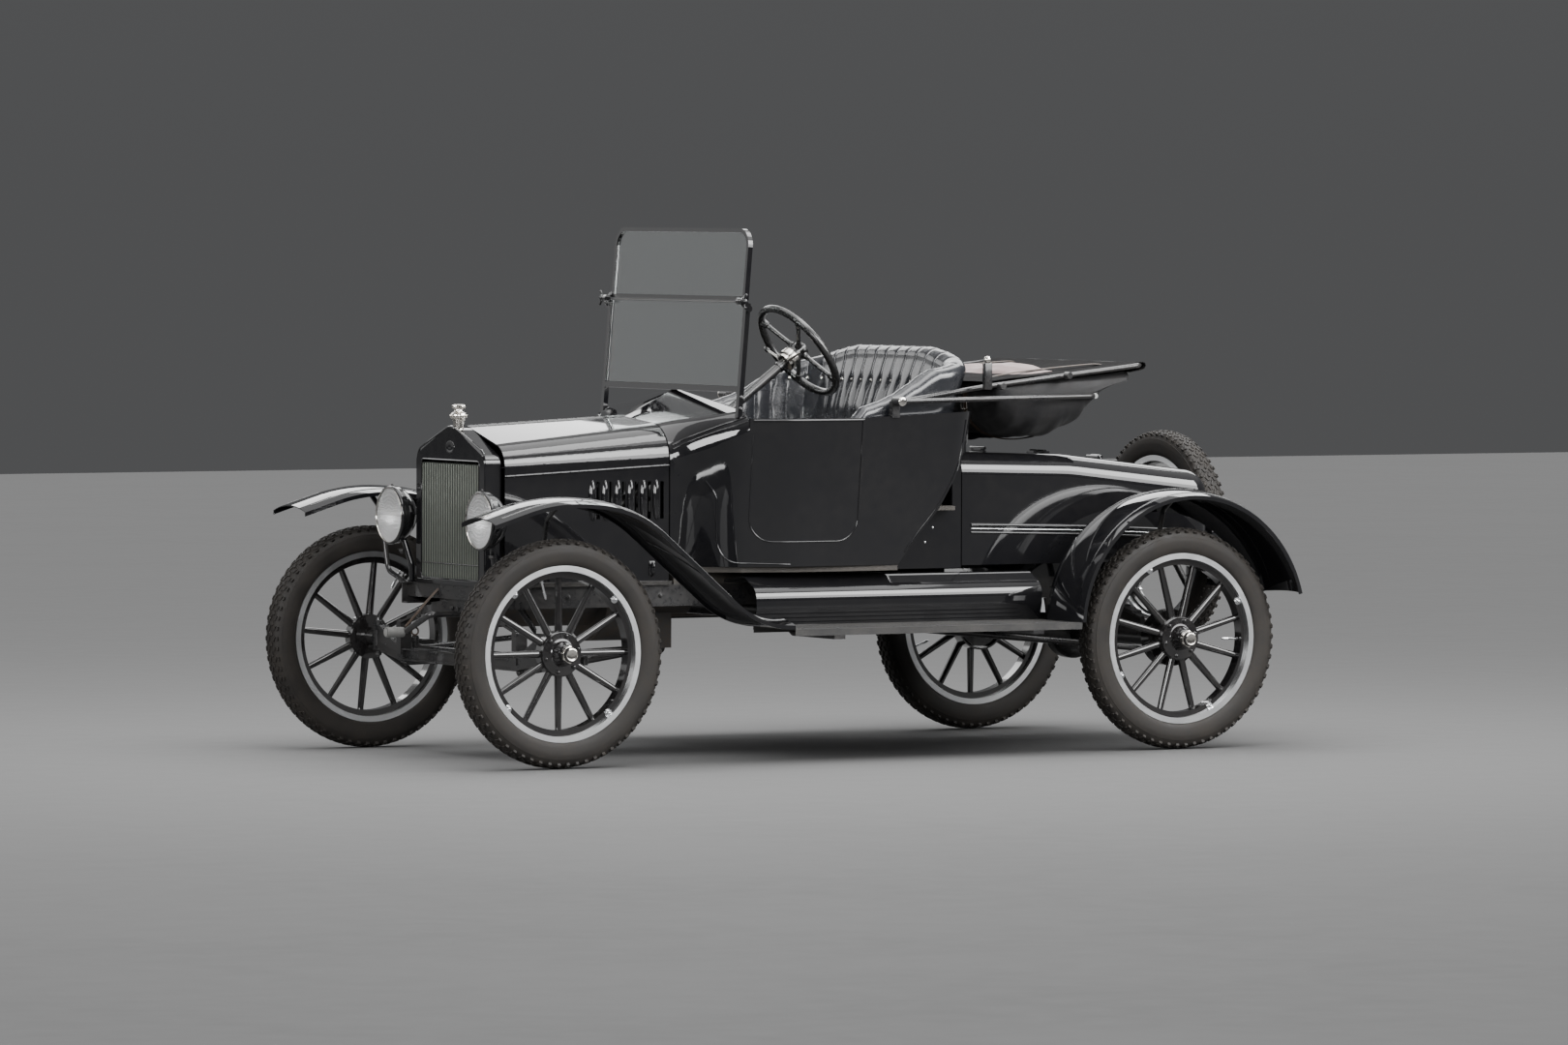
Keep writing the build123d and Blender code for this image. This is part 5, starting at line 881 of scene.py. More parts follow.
# turning handle of the lid and the pull of the door
place, normal = topHit(["deck_lid"], 2.64, 0, 2.0)
boss = turned([(-0.001, 0.021), (0.003, 0.021), (0.005, 0.018), (0.007, 0.0095), (0.02, 0.0085),
               (0.022, 0.006)],
              place, normal, 28)
grip = barFrom(place, ((0, -0.042, 0.021), (0, -0.02, 0.0245), (0, 0.02, 0.0245), (0, 0.042, 0.021)), 0.02,
               0.0058, sides=4)
finished([boss, grip], "lidHandle", enamel, "deck_lid")
place = sideHit(["door"], 1.205, 1.12, -1)[0]
boss = turned([(-0.001, 0.019), (0.003, 0.019), (0.005, 0.016), (0.007, 0.009), (0.03, 0.008),
               (0.032, 0.006)],
              place, (0, -1, 0), 28)
grip = barFrom(place,
               ((0.012, -0.03, 0), (-0.01, -0.034, 0), (-0.052, -0.034, -0.002), (-0.078, -0.03, -0.004)),
               0.02, 0.006, sides=4)
finished([boss, grip], "doorHandle", nickel, "door")
print("body lines and handles made")

# windshield: rubber strip between the halves, seals, wing nuts on the pivots, bolts on the posts
shieldSizes = dict(foot=Vector((aft(0.855), 0, 1.303)), lean=radians(4.8), pivotOut=0.507, pivotRise=0.31)
lean = shieldSizes["lean"]
shieldUp, shieldOut = Vector((-sin(lean), 0, cos(lean))), Vector((cos(lean), 0, sin(lean)))


def shieldPoint(out, rise, ahead=0.0):
    return shieldSizes["foot"] + shieldUp * rise + shieldOut * ahead + Vector((0, out, 0))


strip = wire([shieldPoint(-0.474, 0.3105), shieldPoint(0.474, 0.3105)], 0.0042, sides=3)
finished(strip, "shieldStrip", sealRubber, "windshield_upper")
sealPoints = rounded([shieldPoint(out, rise, 0.0036) for out,
                      rise in ((0, 0.0105), (0.4765, 0.0105), (0.4765, 0.303))],
                     0.006)
seals = [wire(points, 0.0019, sides=2) for points in (sealPoints, mirrored(sealPoints))]
finished(seals, "shieldSeal", rubberBlack)
pivotProfiles = (
    # columns: sides, points of height and radius: stud, washer, nut
    (14, [(0, 0.006), (0.02, 0.006), (0.021, 0.0045)]),
    (24, [(0.0002, 0.0135), (0.0025, 0.0135), (0.003, 0.0125), (0.0032, 0.007)]),
    (20, [(0.003, 0.0098), (0.01, 0.0088), (0.017, 0.0078), (0.019, 0.0062)]),
)
# columns: distance out, distance from the stud
wingPoints = ((0.008, 0.006), (0.013, 0.018), (0.021, 0.027), (0.023, 0.021))
frameParts = []
for side in (1, -1):
    pivot = shieldPoint(side * shieldSizes["pivotOut"], shieldSizes["pivotRise"], 0.028)
    frameParts += [turned(profile, pivot, (0, side, 0), sides) for sides, profile in pivotProfiles]
    for turn in (1, -1):
        spots = [pivot + Vector((0, side * out, 0)) + shieldUp * turn * reach for out, reach in wingPoints]
        frameParts.append(wire(spots, 0.0036, smoothLine=True))
    for rise in (-0.03, -0.07):
        frameParts.append(hexBolt(shieldPoint(side * 0.498, rise), (0, side, 0), 0.012, 0.0055))
    frameParts.append(rivet(shieldPoint(side * 0.4885, 0.288, 0.0092), shieldOut, 0.005, 0.003))
finished(frameParts, "shieldWingNuts", enamel)

# steering: bright gear case with a band round it, its levers with black knobs, the nut on the wheel
columnTop, columnUp = Vector((aft(1.245), 0.225, 1.434)), Vector((-0.803857, 0, 0.594823))
leverSizes = dict(rootBack=0.07, out=0.128, rise=0.0427)
gearCase = turned([(-0.078, 0.019), (-0.076, 0.03), (-0.072, 0.0368), (-0.068, 0.0375), (-0.034, 0.0375),
                   (-0.031, 0.0368), (-0.029, 0.033), (-0.0275, 0.03),
                   (-0.0275, 0.02)], columnTop, columnUp, 48)
band = turned([(-0.056, 0.0385), (-0.046, 0.0385)], columnTop, columnUp, 48)
leverRoot = columnTop - columnUp * leverSizes["rootBack"]
leverRays = [Vector((0, side * leverSizes["out"], leverSizes["rise"])) for side in (1, -1)]
levers = [turned([(0.034, 0.008), (0.046, 0.0068), (0.06, 0.0048), (ray.length, 0.0044)], leverRoot, ray, 16)
          for ray in leverRays]
finished([gearCase, band] + levers, "steeringGearCase", nickel)
knobs = [turned([(-0.014, 0.005), (-0.01, 0.0078), (0.004, 0.0088), (0.012, 0.0076), (0.016, 0.004)],
                leverRoot + ray, ray, 20) for ray in leverRays]
finished(knobs, "leverKnobs", gripRubber, smooth=60)
hubNut = turned([(0.0195, 0.0125), (0.0285, 0.0125), (0.03, 0.011)], columnTop, columnUp, 6)
hubRing = turned([(0.015, 0.026), (0.0205, 0.0255), (0.0215, 0.0235), (0.0215, 0.015)], columnTop, columnUp,
                 40)
spokeCaps = []
across = Vector((0, 1, 0))
for index in range(4):
    turn = pi / 2 * index + pi / 4
    ray = across * cos(turn) + columnUp.cross(across) * sin(turn)
    for profile in ([(0.15, 0.0085), (0.153, 0.0118), (0.178, 0.0135), (0.182, 0.01)],
                    [(0.03, 0.015), (0.034, 0.0118), (0.046, 0.0092), (0.052, 0.0083)]):
        spokeCaps.append(turned(profile, columnTop, ray, 20))
finished([hubNut, hubRing] + spokeCaps, "steeringHub", gripRubber, "steering_wheel", smooth=45)
collars = [turned([(low, 0.0176), (low + 0.001, 0.0205), (low + 0.011, 0.0205), (low + 0.012, 0.0176)],
                  columnTop,
                  columnUp, 32) for low in (-0.105, -0.36, -0.64)]
finished(collars, "columnCollars", enamel)

# dash: a switch plate and a small dial on the firewall's wooden board
board = boxAt((aft(0.858), -0.19, 1.075), (aft(0.852), 0.12, 1.17), 0.002)
finished(board, "dashBoard", shelfWood)
dial = turned([(-0.002, 0.034), (0.007, 0.034), (0.0095, 0.031), (0.0085, 0.0285), (0.0075, 0.028)],
              (aft(0.858), -0.03, 1.123),
              (-1, 0, 0), 40)
switchPlate = turned([(-0.002, 0.03), (0.004, 0.03), (0.0055, 0.028)], (aft(0.858), -0.125, 1.123),
                     (-1, 0, 0), 8)
switchKey = boxAt((aft(0.88), -0.13, 1.108), (aft(0.862), -0.12, 1.138), 0.003)
finished([dial, switchPlate, switchKey], "dashDial", nickel, smooth=35)
print("windshield, steering and dash made")

# spare wheel lugs and valve, tail lamp with a blank plate
spareSizes = dict(x=aft(2.935), z=0.728, lugFace=0.0215, hubFace=0.026, boltFace=0.0315, boltCircle=0.045)
spareX, spareZ = spareSizes["x"], spareSizes["z"]
pieces = []
for index in range(4):
    angle = radians(45 + 90 * index)
    spot = Vector((spareX - spareSizes["lugFace"], hubSizes["lugCircle"] * cos(angle),
                   spareZ + hubSizes["lugCircle"] * sin(angle)))
    pieces += lugAt(spot, (-1, 0, 0), foot=-0.004)
stem = turned(stemProfile[:6] + stemProfile[-1:], (spareX, 0, spareZ + 0.262), (0, 0, -1), 12)
finished(pieces + [stem], "spareLugs", brightSteel, smooth=30)
hubPlate = turned([(0.0, 0.062), (0.006, 0.062), (0.01, 0.056), (0.012, 0.03), (0.02, 0.026), (0.022, 0.02)],
                  (spareX - spareSizes["hubFace"], 0, spareZ), (-1, 0, 0), 40)
hubBolts = []
for index in range(6):
    y, z = spareSizes["boltCircle"] * cos(pi / 3 * index), spareSizes["boltCircle"] * sin(pi / 3 * index)
    hubBolts.append(hexBolt((spareX - spareSizes["boltFace"], y, spareZ + z), (-1, 0, 0), 0.012, 0.006))
finished([hubPlate] + hubBolts, "spareHub", chassisPaint)
lampSpot = Vector((aft(2.868), 0.365, 0.76))
lampBody = turned([(0.0, 0.012), (0.018, 0.012), (0.02, 0.03), (0.024, 0.0375), (0.052, 0.0385),
                   (0.058, 0.0385),
                   (0.06, 0.0365), (0.06, 0.033), (0.056, 0.0325)], lampSpot, (-1, 0, 0), 40)
platePost = boxAt(lampSpot + Vector((-0.03, -0.006, -0.095)), lampSpot + Vector((-0.026, 0.006, -0.034)),
                  0.001)
plateFrame = boxAt(lampSpot + Vector((-0.0335, -0.15, -0.19)), lampSpot + Vector((-0.0305, 0.075, -0.075)),
                   0.001)
finished([lampBody, platePost], "tailLampBody", enamel, smooth=45)
finished(plateFrame, "plateBlank", enamel)
tailGlass = turned([(0.05, 0.0335), (0.0585, 0.0335), (0.06, 0.031), (0.0625, 0.02), (0.0635, 0.006)],
                   lampSpot, (-1, 0, 0), 40)
finished(tailGlass, "tailLampGlass", redGlass, smooth=60)

# crank: rubber sleeve on the grip and the strap that holds it up
cx, cy = frontAxleX + 0.124, -0.19
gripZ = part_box("crank")[0][2] + 0.017
sleeve = turned([(0.004, 0.015), (0.005, 0.0182), (0.016, 0.0186), (0.04, 0.018), (0.066, 0.0186),
                 (0.0725, 0.0182),
                 (0.0745, 0.014)], (cx + 0.002, cy, gripZ), (1, 0, 0), 32)
finished(sleeve, "crankSleeve", gripGrey, smooth=45)
strapLow = Vector((cx - 0.02, -0.15, gripZ + 0.004))
strapTop = Vector((frontAxleX + 0.03, -0.105, 0.598))
loopPoints = []
for index in range(12):
    angle = 2 * pi * index / 12
    loopPoints.append(strapLow + Vector((cos(angle) * 0.0135, 0, sin(angle) * 0.0135)))
strap = wire([strapLow + Vector((0, 0, 0.013)), strapLow.lerp(strapTop, 0.35) + Vector((0.012, 0, -0.004)),
              strapLow.lerp(strapTop, 0.7) + Vector((0.008, 0, 0)),
              strapTop], 0.0034, smoothLine=True, sides=2)
strap.scale.y = 2.6
strap.location.y = -strapTop.y * 1.6
bakePlace(strap)
loop = wire(loopPoints, 0.0032, closed=True, sides=2)
finished([strap, loop], "crankStrap", strapLeather, smooth=50)

# springs: clips round the leaves, clamps with nuts over the axles; bolts along the frame's rails
clipSizes = dict(half=0.0255, wall=0.003, deep=0.012, low=-0.03, share=0.62)
railBolts = (0.25, 0.62, 1.06, 1.47, 1.88, 2.25, 2.5)  # distances aft
clipHalf, clipInner, clipDeep = clipSizes["half"], clipSizes["half"] - clipSizes["wall"], clipSizes["deep"]
parts = []
for side in (1, -1):
    for stationAft, reach in ((0.0, 0.43), (wheelbase, 0.52)):
        hit = topHit(["springs"], stationAft, side * reach * clipSizes["share"])
        if hit and hit[0].z > 0.35:
            for low, high in (((-clipHalf, clipSizes["low"]), (-clipInner, 0.003)),
                              ((clipInner, clipSizes["low"]), (clipHalf, 0.003)),
                              ((-clipHalf, 0.001), (clipHalf, 0.004))):
                parts.append(boxAt(hit[0] + Vector((low[0], -clipDeep, low[1])),
                                   hit[0] + Vector((high[0], clipDeep, high[1])), 0.001))
            parts.append(hexBolt(hit[0] + Vector((clipHalf, 0, -0.026)), (1, 0, 0), 0.01, 0.005))
    for stationAft in (0.0, wheelbase):
        for ahead in (1, -1):
            spot = Vector((aft(stationAft) + ahead * 0.024, side * 0.02, 0.534))
            parts.append(hexBolt(spot, (0, 0, -1), 0.016, 0.01))
    for railAft in railBolts:
        hit = sideHit(["frame"], railAft, 0.574, side, 0.6)
        if hit:
            parts.append(hexBolt(hit[0], (0, side, 0), 0.013, 0.006))
finished(parts, "chassisBolts", chassisPaint, smooth=30)
for side, label in bothSides:
    top = Vector((frontAxleX, side * 0.625, axleHeight + 0.054))
    capNut = turned([(0, 0.012), (0.006, 0.012), (0.0075, 0.01), (0.016, 0.009), (0.019, 0.005)], top,
                    (0, 0, 1), 24)
    lowNut = hexBolt(Vector((frontAxleX, side * 0.625, axleHeight - 0.054)), (0, 0, -1), 0.021, 0.011)
    finished([capNut, lowNut], f"kingpinNuts_{label}", chassisPaint, f"knuckle_{label}", smooth=30)

# running boards: bolts along the outer edge
boardBolts = []
for side in (1, -1):
    for boardAft in (0.93, 1.06, 1.29, 1.47, 1.65, 1.88, 2.01):
        hit = topHit(["running_boards"], boardAft, side * 0.822, 1.0)
        if hit:
            boardBolts.append(rivet(hit[0], (0, 0, 1), 0.0052, 0.0024))
finished(boardBolts, "boardBolts", chassisPaint)

# fenders: swaged beads that follow the crown near both edges, sunk a little in the sheet
fenderSizes = dict(outs=(0.805, 0.622), sunk=-0.0006, bead=0.0028, arcFrom=18, arcTo=162, arcSteps=60,
                   arcLeast=0.42)


def rearFenderLine(side, out):
    # the crown seen along rays to the middle of its arc
    arcCentre, line = Vector((frontAxleX - wheelbase, 0, 0.441)), []
    for step in range(fenderSizes["arcSteps"] + 1):
        sweep = fenderSizes["arcTo"] - fenderSizes["arcFrom"]
        angle = radians(fenderSizes["arcFrom"] + sweep * step / fenderSizes["arcSteps"])
        ray = Vector((cos(angle), 0, sin(angle)))
        hit = surfaceHit(["rear_fenders"], arcCentre + ray * 0.9 + Vector((0, side * out, 0)), -ray)
        if hit and (hit[0] - arcCentre - Vector((0, hit[0].y, 0))).length > fenderSizes["arcLeast"]:
            line.append(hit[0] + hit[1] * fenderSizes["sunk"])
    return line


def frontFenderLine(side, out):
    return projectedLine(["front_fenders"], [(-0.275, out), (0.64, out)], side, fenderSizes["sunk"], 0.012,
                         True)


for name, lineOf in (("frontFenderBeads", frontFenderLine), ("rearFenderBeads", rearFenderLine)):
    beads = [wire(lineOf(side, out), fenderSizes["bead"], sides=2)
             for side in (1, -1) for out in fenderSizes["outs"]]
    finished(beads, name, enamel, smooth=60)
print("spare, tail lamp, crank, springs and fender beads made")

# seat: padded leather, sewn in upright channels that run over the rolled edge, with a row of buttons
seatSizes = dict(pitch=0.0735, levels=((0.882, 1.733, 0.538), (1.221, 1.762, 0.569), (1.459, 1.842, 0.59)),
                 bend=0.188,
                 armFront=1.287, armToe=0.014, backThickness=0.083, armThickness=0.066, pleat=0.0068,
                 buttonHeight=1.318,
                 archHalf=0.64, archFall=0.17, foot=0.884, insideSteps=34, outsideSteps=26, rollSteps=16,
                 rearFrom=1.66, groove=(0.0034, 0.0055), dip=(0.01, 0.014, 0.016), crease=0.0022, steps=192,
                 buttonsFrom=1.5, threadRadius=0.0008, threadFrom=0.012)
# columns: distance aft, height of the rolled edge there
seatCrest = ((1.285, 1.203), (1.33, 1.24), (1.4, 1.258), (1.465, 1.282), (1.53, 1.318), (1.6, 1.362),
             (1.67, 1.405),
             (1.74, 1.437), (1.79, 1.452), (1.845, 1.459))


def between(table, value):
    # reads a height from a table of places
    if value <= table[0][0]:
        return table[0][1]
    for (a, low), (b, high) in zip(table, table[1:]):
        if value <= b:
            t = (value - a) / (b - a)
            return low + (high - low) * (3 * t * t - 2 * t ** 3) * 0.35 + (high - low) * t * 0.65
    return table[-1][1]


def seatPlan(rear, half, bend, toe):
    # half of the horseshoe in plan from the arm's front to the middle of the back, as points every few mm
    points = rounded([(seatSizes["armFront"], half), (rear, half - toe), (rear, 0)], bend, 18)
    line = [points[0]]
    for point in points[1:]:
        start = line[-1].copy()
        count = max(1, round((point - start).length / 0.006))
        line += [start.lerp(point, (index + 1) / count) for index in range(count)]
    return line


def evenly(line, count):
    # the same line with evenly spaced points
    lengths = [0.0]
    for a, b in zip(line, line[1:]):
        lengths.append(lengths[-1] + (b - a).length)
    spots, index = [], 0
    for step in range(count + 1):
        target = lengths[-1] * step / count
        while index < len(lengths) - 2 and lengths[index + 1] < target:
            index += 1
        span = lengths[index + 1] - lengths[index] or 1
        spots.append(line[index].lerp(line[index + 1], (target - lengths[index]) / span))
    return spots, lengths[-1]


def makeSeatBack():
    steps = seatSizes["steps"]  # along half of the horseshoe
    shells = []
    for height, rear, half in seatSizes["levels"]:
        outer, length = evenly(seatPlan(rear, half, seatSizes["bend"], seatSizes["armToe"]), steps)
        inner, _ = evenly(seatPlan(rear - seatSizes["backThickness"], half - seatSizes["armThickness"],
                                   seatSizes["bend"] - 0.062, seatSizes["armToe"]), steps)
        shells.append((height, outer, inner, length))
    length = shells[1][3]
    pleats = max(1, round(length / seatSizes["pitch"]))

    def shellPoint(index, height, inside):
        # a point of the outer or inner wall at a height
        first = 0 if height < shells[1][0] else 1
        (h0, o0, i0, _), (h1, o1, i1, _) = shells[first:first + 2]
        t = (height - h0) / (h1 - h0)
        a, b = (i0[index], i1[index]) if inside else (o0[index], o1[index])
        return a.lerp(b, t)

    rows = []
    for index in range(steps + 1):
        s = length * index / steps
        seam = abs(sin(pi * pleats * index / steps))
        nearSeam = abs((pleats * index / steps + 0.5) % 1 - 0.5) * length / pleats
        middle = shellPoint(index, 1.24, False)
        crest = between(seatCrest, middle[0])
        across = min(abs(middle[1]) / seatSizes["archHalf"], 1)
        crest = min(crest, seatCrest[-1][1] - seatSizes["archFall"] * (1 - (1 - across ** 2) ** 0.5))
        row = []
        rear = middle[0] > seatSizes["rearFrom"]
        foot, roll = seatSizes["foot"], seatSizes["rollSteps"]
        wallInside, wallOutside = seatSizes["insideSteps"], seatSizes["outsideSteps"]
        thick = (shellPoint(index, crest - 0.04, False) - shellPoint(index, crest - 0.04, True)).length
        turnRadius = thick / 2
        for step in range(wallInside + 1):
            height = foot + (crest - turnRadius - foot) * step / wallInside
            above = min(1.0, max(0.0, (height - seatSizes["buttonHeight"] + 0.004) / 0.018))
            row.append((shellPoint(index, height, True), height, 1.0 - (0.68 if rear else 0.85) * above, -1))
        centreOut = shellPoint(index, crest - turnRadius, False)
        centreIn = shellPoint(index, crest - turnRadius, True)
        for step in range(1, roll):
            angle = pi * step / roll
            t = (1 - cos(angle)) / 2
            row.append((centreIn.lerp(centreOut, t), crest - turnRadius + turnRadius * sin(angle),
                        (0.32 if rear else 0.15) * (1 - t), -cos(angle)))
        for step in range(wallOutside + 1):
            height = crest - turnRadius + (foot - crest + turnRadius) * step / wallOutside
            row.append((shellPoint(index, height, False), height, 0.0, 1))
        inward = (shellPoint(index, 1.2, True) - shellPoint(index, 1.2, False)).normalized()
        line = []
        for spot, height, strength, outside in row:
            groove = -seatSizes["groove"][0] * bell(nearSeam / seatSizes["groove"][1])
            full = min(1.0, max(0.0, (strength - 0.3) / 0.7)) if outside < 0 else 0.0
            sewn = groove * min(1.0, strength * 3) * (1 - full)
            swell = seatSizes["pleat"] * (seam ** 0.55 - 1) * full + sewn
            dip = 0.0
            if outside < 0 and middle[0] > seatSizes["buttonsFrom"]:
                depth, wide, tall = seatSizes["dip"]
                fromButton = hypot(nearSeam / wide, (height - seatSizes["buttonHeight"]) / tall)
                dip = depth * strength * bell(fromButton)
            ripple = noise.noise(Vector((s * 26, height * 17, 3.1 * outside)))
            amount = swell - dip + seatSizes["crease"] * strength * ripple
            shift = inward * (amount * -outside)
            rise = amount * (1 - outside * outside) ** 0.5
            line.append(Vector((aft(spot[0] + shift[0]), spot[1] + shift[1], height + rise)))
        rows.append(line)
    pad = meshOfRows("seatBackPad", rows + [mirrored(line) for line in rows[-2::-1]])
    recalculated(pad)
    # buttons on the seams
    buttons = []
    for seamIndex in range(1, pleats + 1):
        index = round(steps * seamIndex / pleats)
        spot = shellPoint(index, seatSizes["buttonHeight"], True)
        crestHere = between(seatCrest, spot[0])
        if spot[0] < seatSizes["buttonsFrom"] or crestHere - 0.05 < seatSizes["buttonHeight"]:
            continue
        inward = (shellPoint(index, 1.3, True) - shellPoint(index, 1.3, False)).normalized()
        sunk = spot - inward * 0.014
        for mirror in ((1, -1) if abs(spot[1]) > 0.01 else (1,)):
            place = Vector((aft(sunk[0]), mirror * sunk[1], seatSizes["buttonHeight"]))
            axis = Vector((-inward[0], mirror * inward[1], 0))
            buttons.append(turned([(-0.002, 0.006), (0.001, 0.0085), (0.0035, 0.008), (0.0052, 0.005),
                                   (0.0058, 0.0018)], place, axis, 16))
    # light thread in the seams above the buttons, up over the roll; its light grey is partly stitching and
    # partly a painted highlight along the pleat edges
    highlightThreads = []
    for seamIndex in range(1, pleats + 1):
        line = rows[round(steps * seamIndex / pleats)]
        lowest = seatSizes["buttonHeight"] + seatSizes["threadFrom"]
        shown = [point for point in line[18:44] if point.z > lowest]
        if len(shown) > 3:
            highlightThreads.append(wire(shown, seatSizes["threadRadius"], sides=1))
            if abs(shown[0].y) > 0.01:
                highlightThreads.append(wire(mirrored(shown), seatSizes["threadRadius"], sides=1))
    return pad, buttons, highlightThreads


pad, buttons, highlightThreads = makeSeatBack()
finished(pad, "seatBackPad", leather, smooth=70)
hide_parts("seat_back")
finished(highlightThreads, "seatThreadsPaintedHighlight", seamThreadPaintedHighlight, smooth=60)
finished(buttons, "seatButtons", nickel, smooth=60)
print("seat back made")

cushionSizes = dict(front=1.293, rear=1.646, half=0.452, low=0.8805, high=1.018, corner=0.1, voxel=0.006,
                    pitch=0.0735,
                    mostMove=0.022, pressure=4.0, frames=20, seamDepth=0.0105, seamWidth=0.0085, crease=0.002)


def makeCushion():
    low = (aft(cushionSizes["rear"]) + 0.012, -cushionSizes["half"] + 0.012, cushionSizes["low"])
    high = (aft(cushionSizes["front"]) - 0.012, cushionSizes["half"] - 0.012, cushionSizes["high"] - 0.012)
    pad = boxAt(low, high)
    activate(pad)
    bpy.ops.object.mode_set(mode="EDIT")
    bpy.ops.mesh.select_all(action="DESELECT")
    leaveEdit()
    for edge in pad.data.edges:
        a, b = (pad.data.vertices[v].co for v in edge.vertices)
        edge.select = abs(a.z - b.z) > 0.05
    bpy.ops.object.mode_set(mode="EDIT")
    bpy.ops.mesh.bevel(offset=cushionSizes["corner"], segments=8)
    leaveEdit()
    bevelled(pad, 0.022, 4)
    remesh = pad.modifiers.new("voxels", "REMESH")
    remesh.mode, remesh.voxel_size = "VOXEL", cushionSizes["voxel"]
    applyAll(pad)
    start = [point.co.copy() for point in pad.data.vertices]
    puff(pad, cushionSizes["pressure"], cushionSizes["frames"])
    for point, rest in zip(pad.data.vertices, start):
        move = point.co - rest
        if move.length > cushionSizes["mostMove"]:
            move *= cushionSizes["mostMove"] / move.length
        point.co = rest + move
        point.co.z = max(point.co.z, cushionSizes["low"])
    count = round(2 * cushionSizes["half"] / cushionSizes["pitch"])
    for point in pad.data.vertices:
        share = (point.co.y + cushionSizes["half"]) / (2 * cushionSizes["half"]) * count
        fromSeam = abs((share + 0.5) % 1 - 0.5) * cushionSizes["pitch"]
        upper = min(1.0, max(0.0, (point.co.z - cushionSizes["low"] - 0.035) / 0.05))
        point.co.z -= cushionSizes["seamDepth"] * upper * bell(fromSeam / cushionSizes["seamWidth"])
        ripple = noise.noise(Vector((point.co.x * 22, point.co.y * 30, 0.4)))
        point.co.z -= cushionSizes["crease"] * upper * ripple
    detail = pad.modifiers.new("finer", "SUBSURF")
    detail.levels = detail.render_levels = 1
    applyAll(pad)
    return pad


def puff(obj, pressure, frames):
    # blows a closed cloth up a little and keeps its shape
    activate(obj)
    cloth = obj.modifiers.new("cloth", "CLOTH")
    cloth.settings.use_pressure = True
    cloth.settings.uniform_pressure_force = pressure
    cloth.settings.effector_weights.gravity = 0
    cloth.settings.quality = 4
    for frameNumber in range(1, frames + 1):
        bpy.context.scene.frame_set(frameNumber)
    applyAll(obj)
    bpy.context.scene.frame_set(1)


cushion = makeCushion()
finished(cushion, "seatCushionPad", leather, smooth=70)
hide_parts("seat_cushion")
piping = rounded([(aft(cushionSizes["front"]) - 0.002, 0, 0.905),
                  (aft(cushionSizes["front"]) - 0.002, 0.436, 0.905),
                  (aft(cushionSizes["rear"]) + 0.1, 0.441, 0.905)], 0.08)
pipes = [wire(points, 0.0036, sides=2) for points in (piping, mirrored(piping))]
finished(pipes, "cushionPiping", leather, smooth=60)
print("seat cushion made")

# folded top: a roof sheet that lies on the irons, and the bundle of folds that hangs below it
topSizes = dict(half=0.489, pivot=(1.428, 0.626, 1.259), centre=(2.15, 1.262), stations=120, folds=7)
# the bundle from the side: distance aft and height, from the seat's edge round by the rear bow
bundleOutline = ((1.905, 1.312), (2.0, 1.322), (2.14, 1.333), (2.29, 1.345), (2.42, 1.358), (2.5, 1.366),
                 (2.506, 1.352),
                 (2.44, 1.318), (2.385, 1.282), (2.345, 1.235), (2.3, 1.178), (2.235, 1.138), (2.15, 1.121),
                 (2.06, 1.118),
                 (1.985, 1.14), (1.93, 1.178), (1.902, 1.235), (1.896, 1.285))


def makeBundle():
    centre = Vector(topSizes["centre"])
    outline = [Vector(point) for point in bundleOutline]
    ring = []
    for a, b in zip(outline, outline[1:] + outline[:1]):
        ring += [a.lerp(b, step / 8) for step in range(8)]
    rows = []
    for station in range(topSizes["stations"] + 1):
        y = topSizes["half"] * (1 - 2 * station / topSizes["stations"])
        edge = min(1.0, (topSizes["half"] - abs(y)) / 0.16)
        pinch = 0.4 + 0.6 * (1 - (1 - edge) ** 2.2) ** 0.5
        sag = 0.012 * (1 - abs(y) / topSizes["half"])
        row = []
        for index, spot in enumerate(ring):
            angle = index / len(ring)
            lower = min(1.0, max(0.0, (1.34 - spot[1]) / 0.2))
            sway = 1.6 * noise.noise(Vector((y * 4, angle * 3, 0.2)))
            folds = 0.0075 * abs(sin(angle * 2 * pi * topSizes["folds"] + sway)) * lower
            ripple = noise.noise(Vector((y * 7.5, spot[0] * 18, spot[1] * 26)))
            wrinkle = 0.0085 * ripple * (0.35 + 0.65 * lower)
            pull = 0.004 * noise.noise(Vector((y * 26, spot[0] * 9, spot[1] * 9)))
            squeeze = Vector((centre[0] + (spot[0] - centre[0]) * (0.82 + 0.18 * pinch),
                              1.3 + (spot[1] - 1.3) * pinch))
            outward = (spot - centre).normalized() * (wrinkle + pull - folds)
            row.append((aft(squeeze[0] + outward[0]), y, squeeze[1] + outward[1] - sag * lower))
        rows.append(row)
    return recalculated(meshOfRows("topBundle", rows))


bundle = makeBundle()
finished(bundle, "topBundle", topFabric, smooth=75)
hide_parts("top_cloth")


def clothStrip(name, rows, thickness, finish):
    # a sheet through rows of points, with an even thickness
    cloth = meshOfRows(name, rows, tube=False)
    wall = cloth.modifiers.new("wall", "SOLIDIFY")
    wall.thickness, wall.offset = thickness, 0
    applyAll(cloth)
    return finished(recalculated(cloth), name, finish, smooth=70)


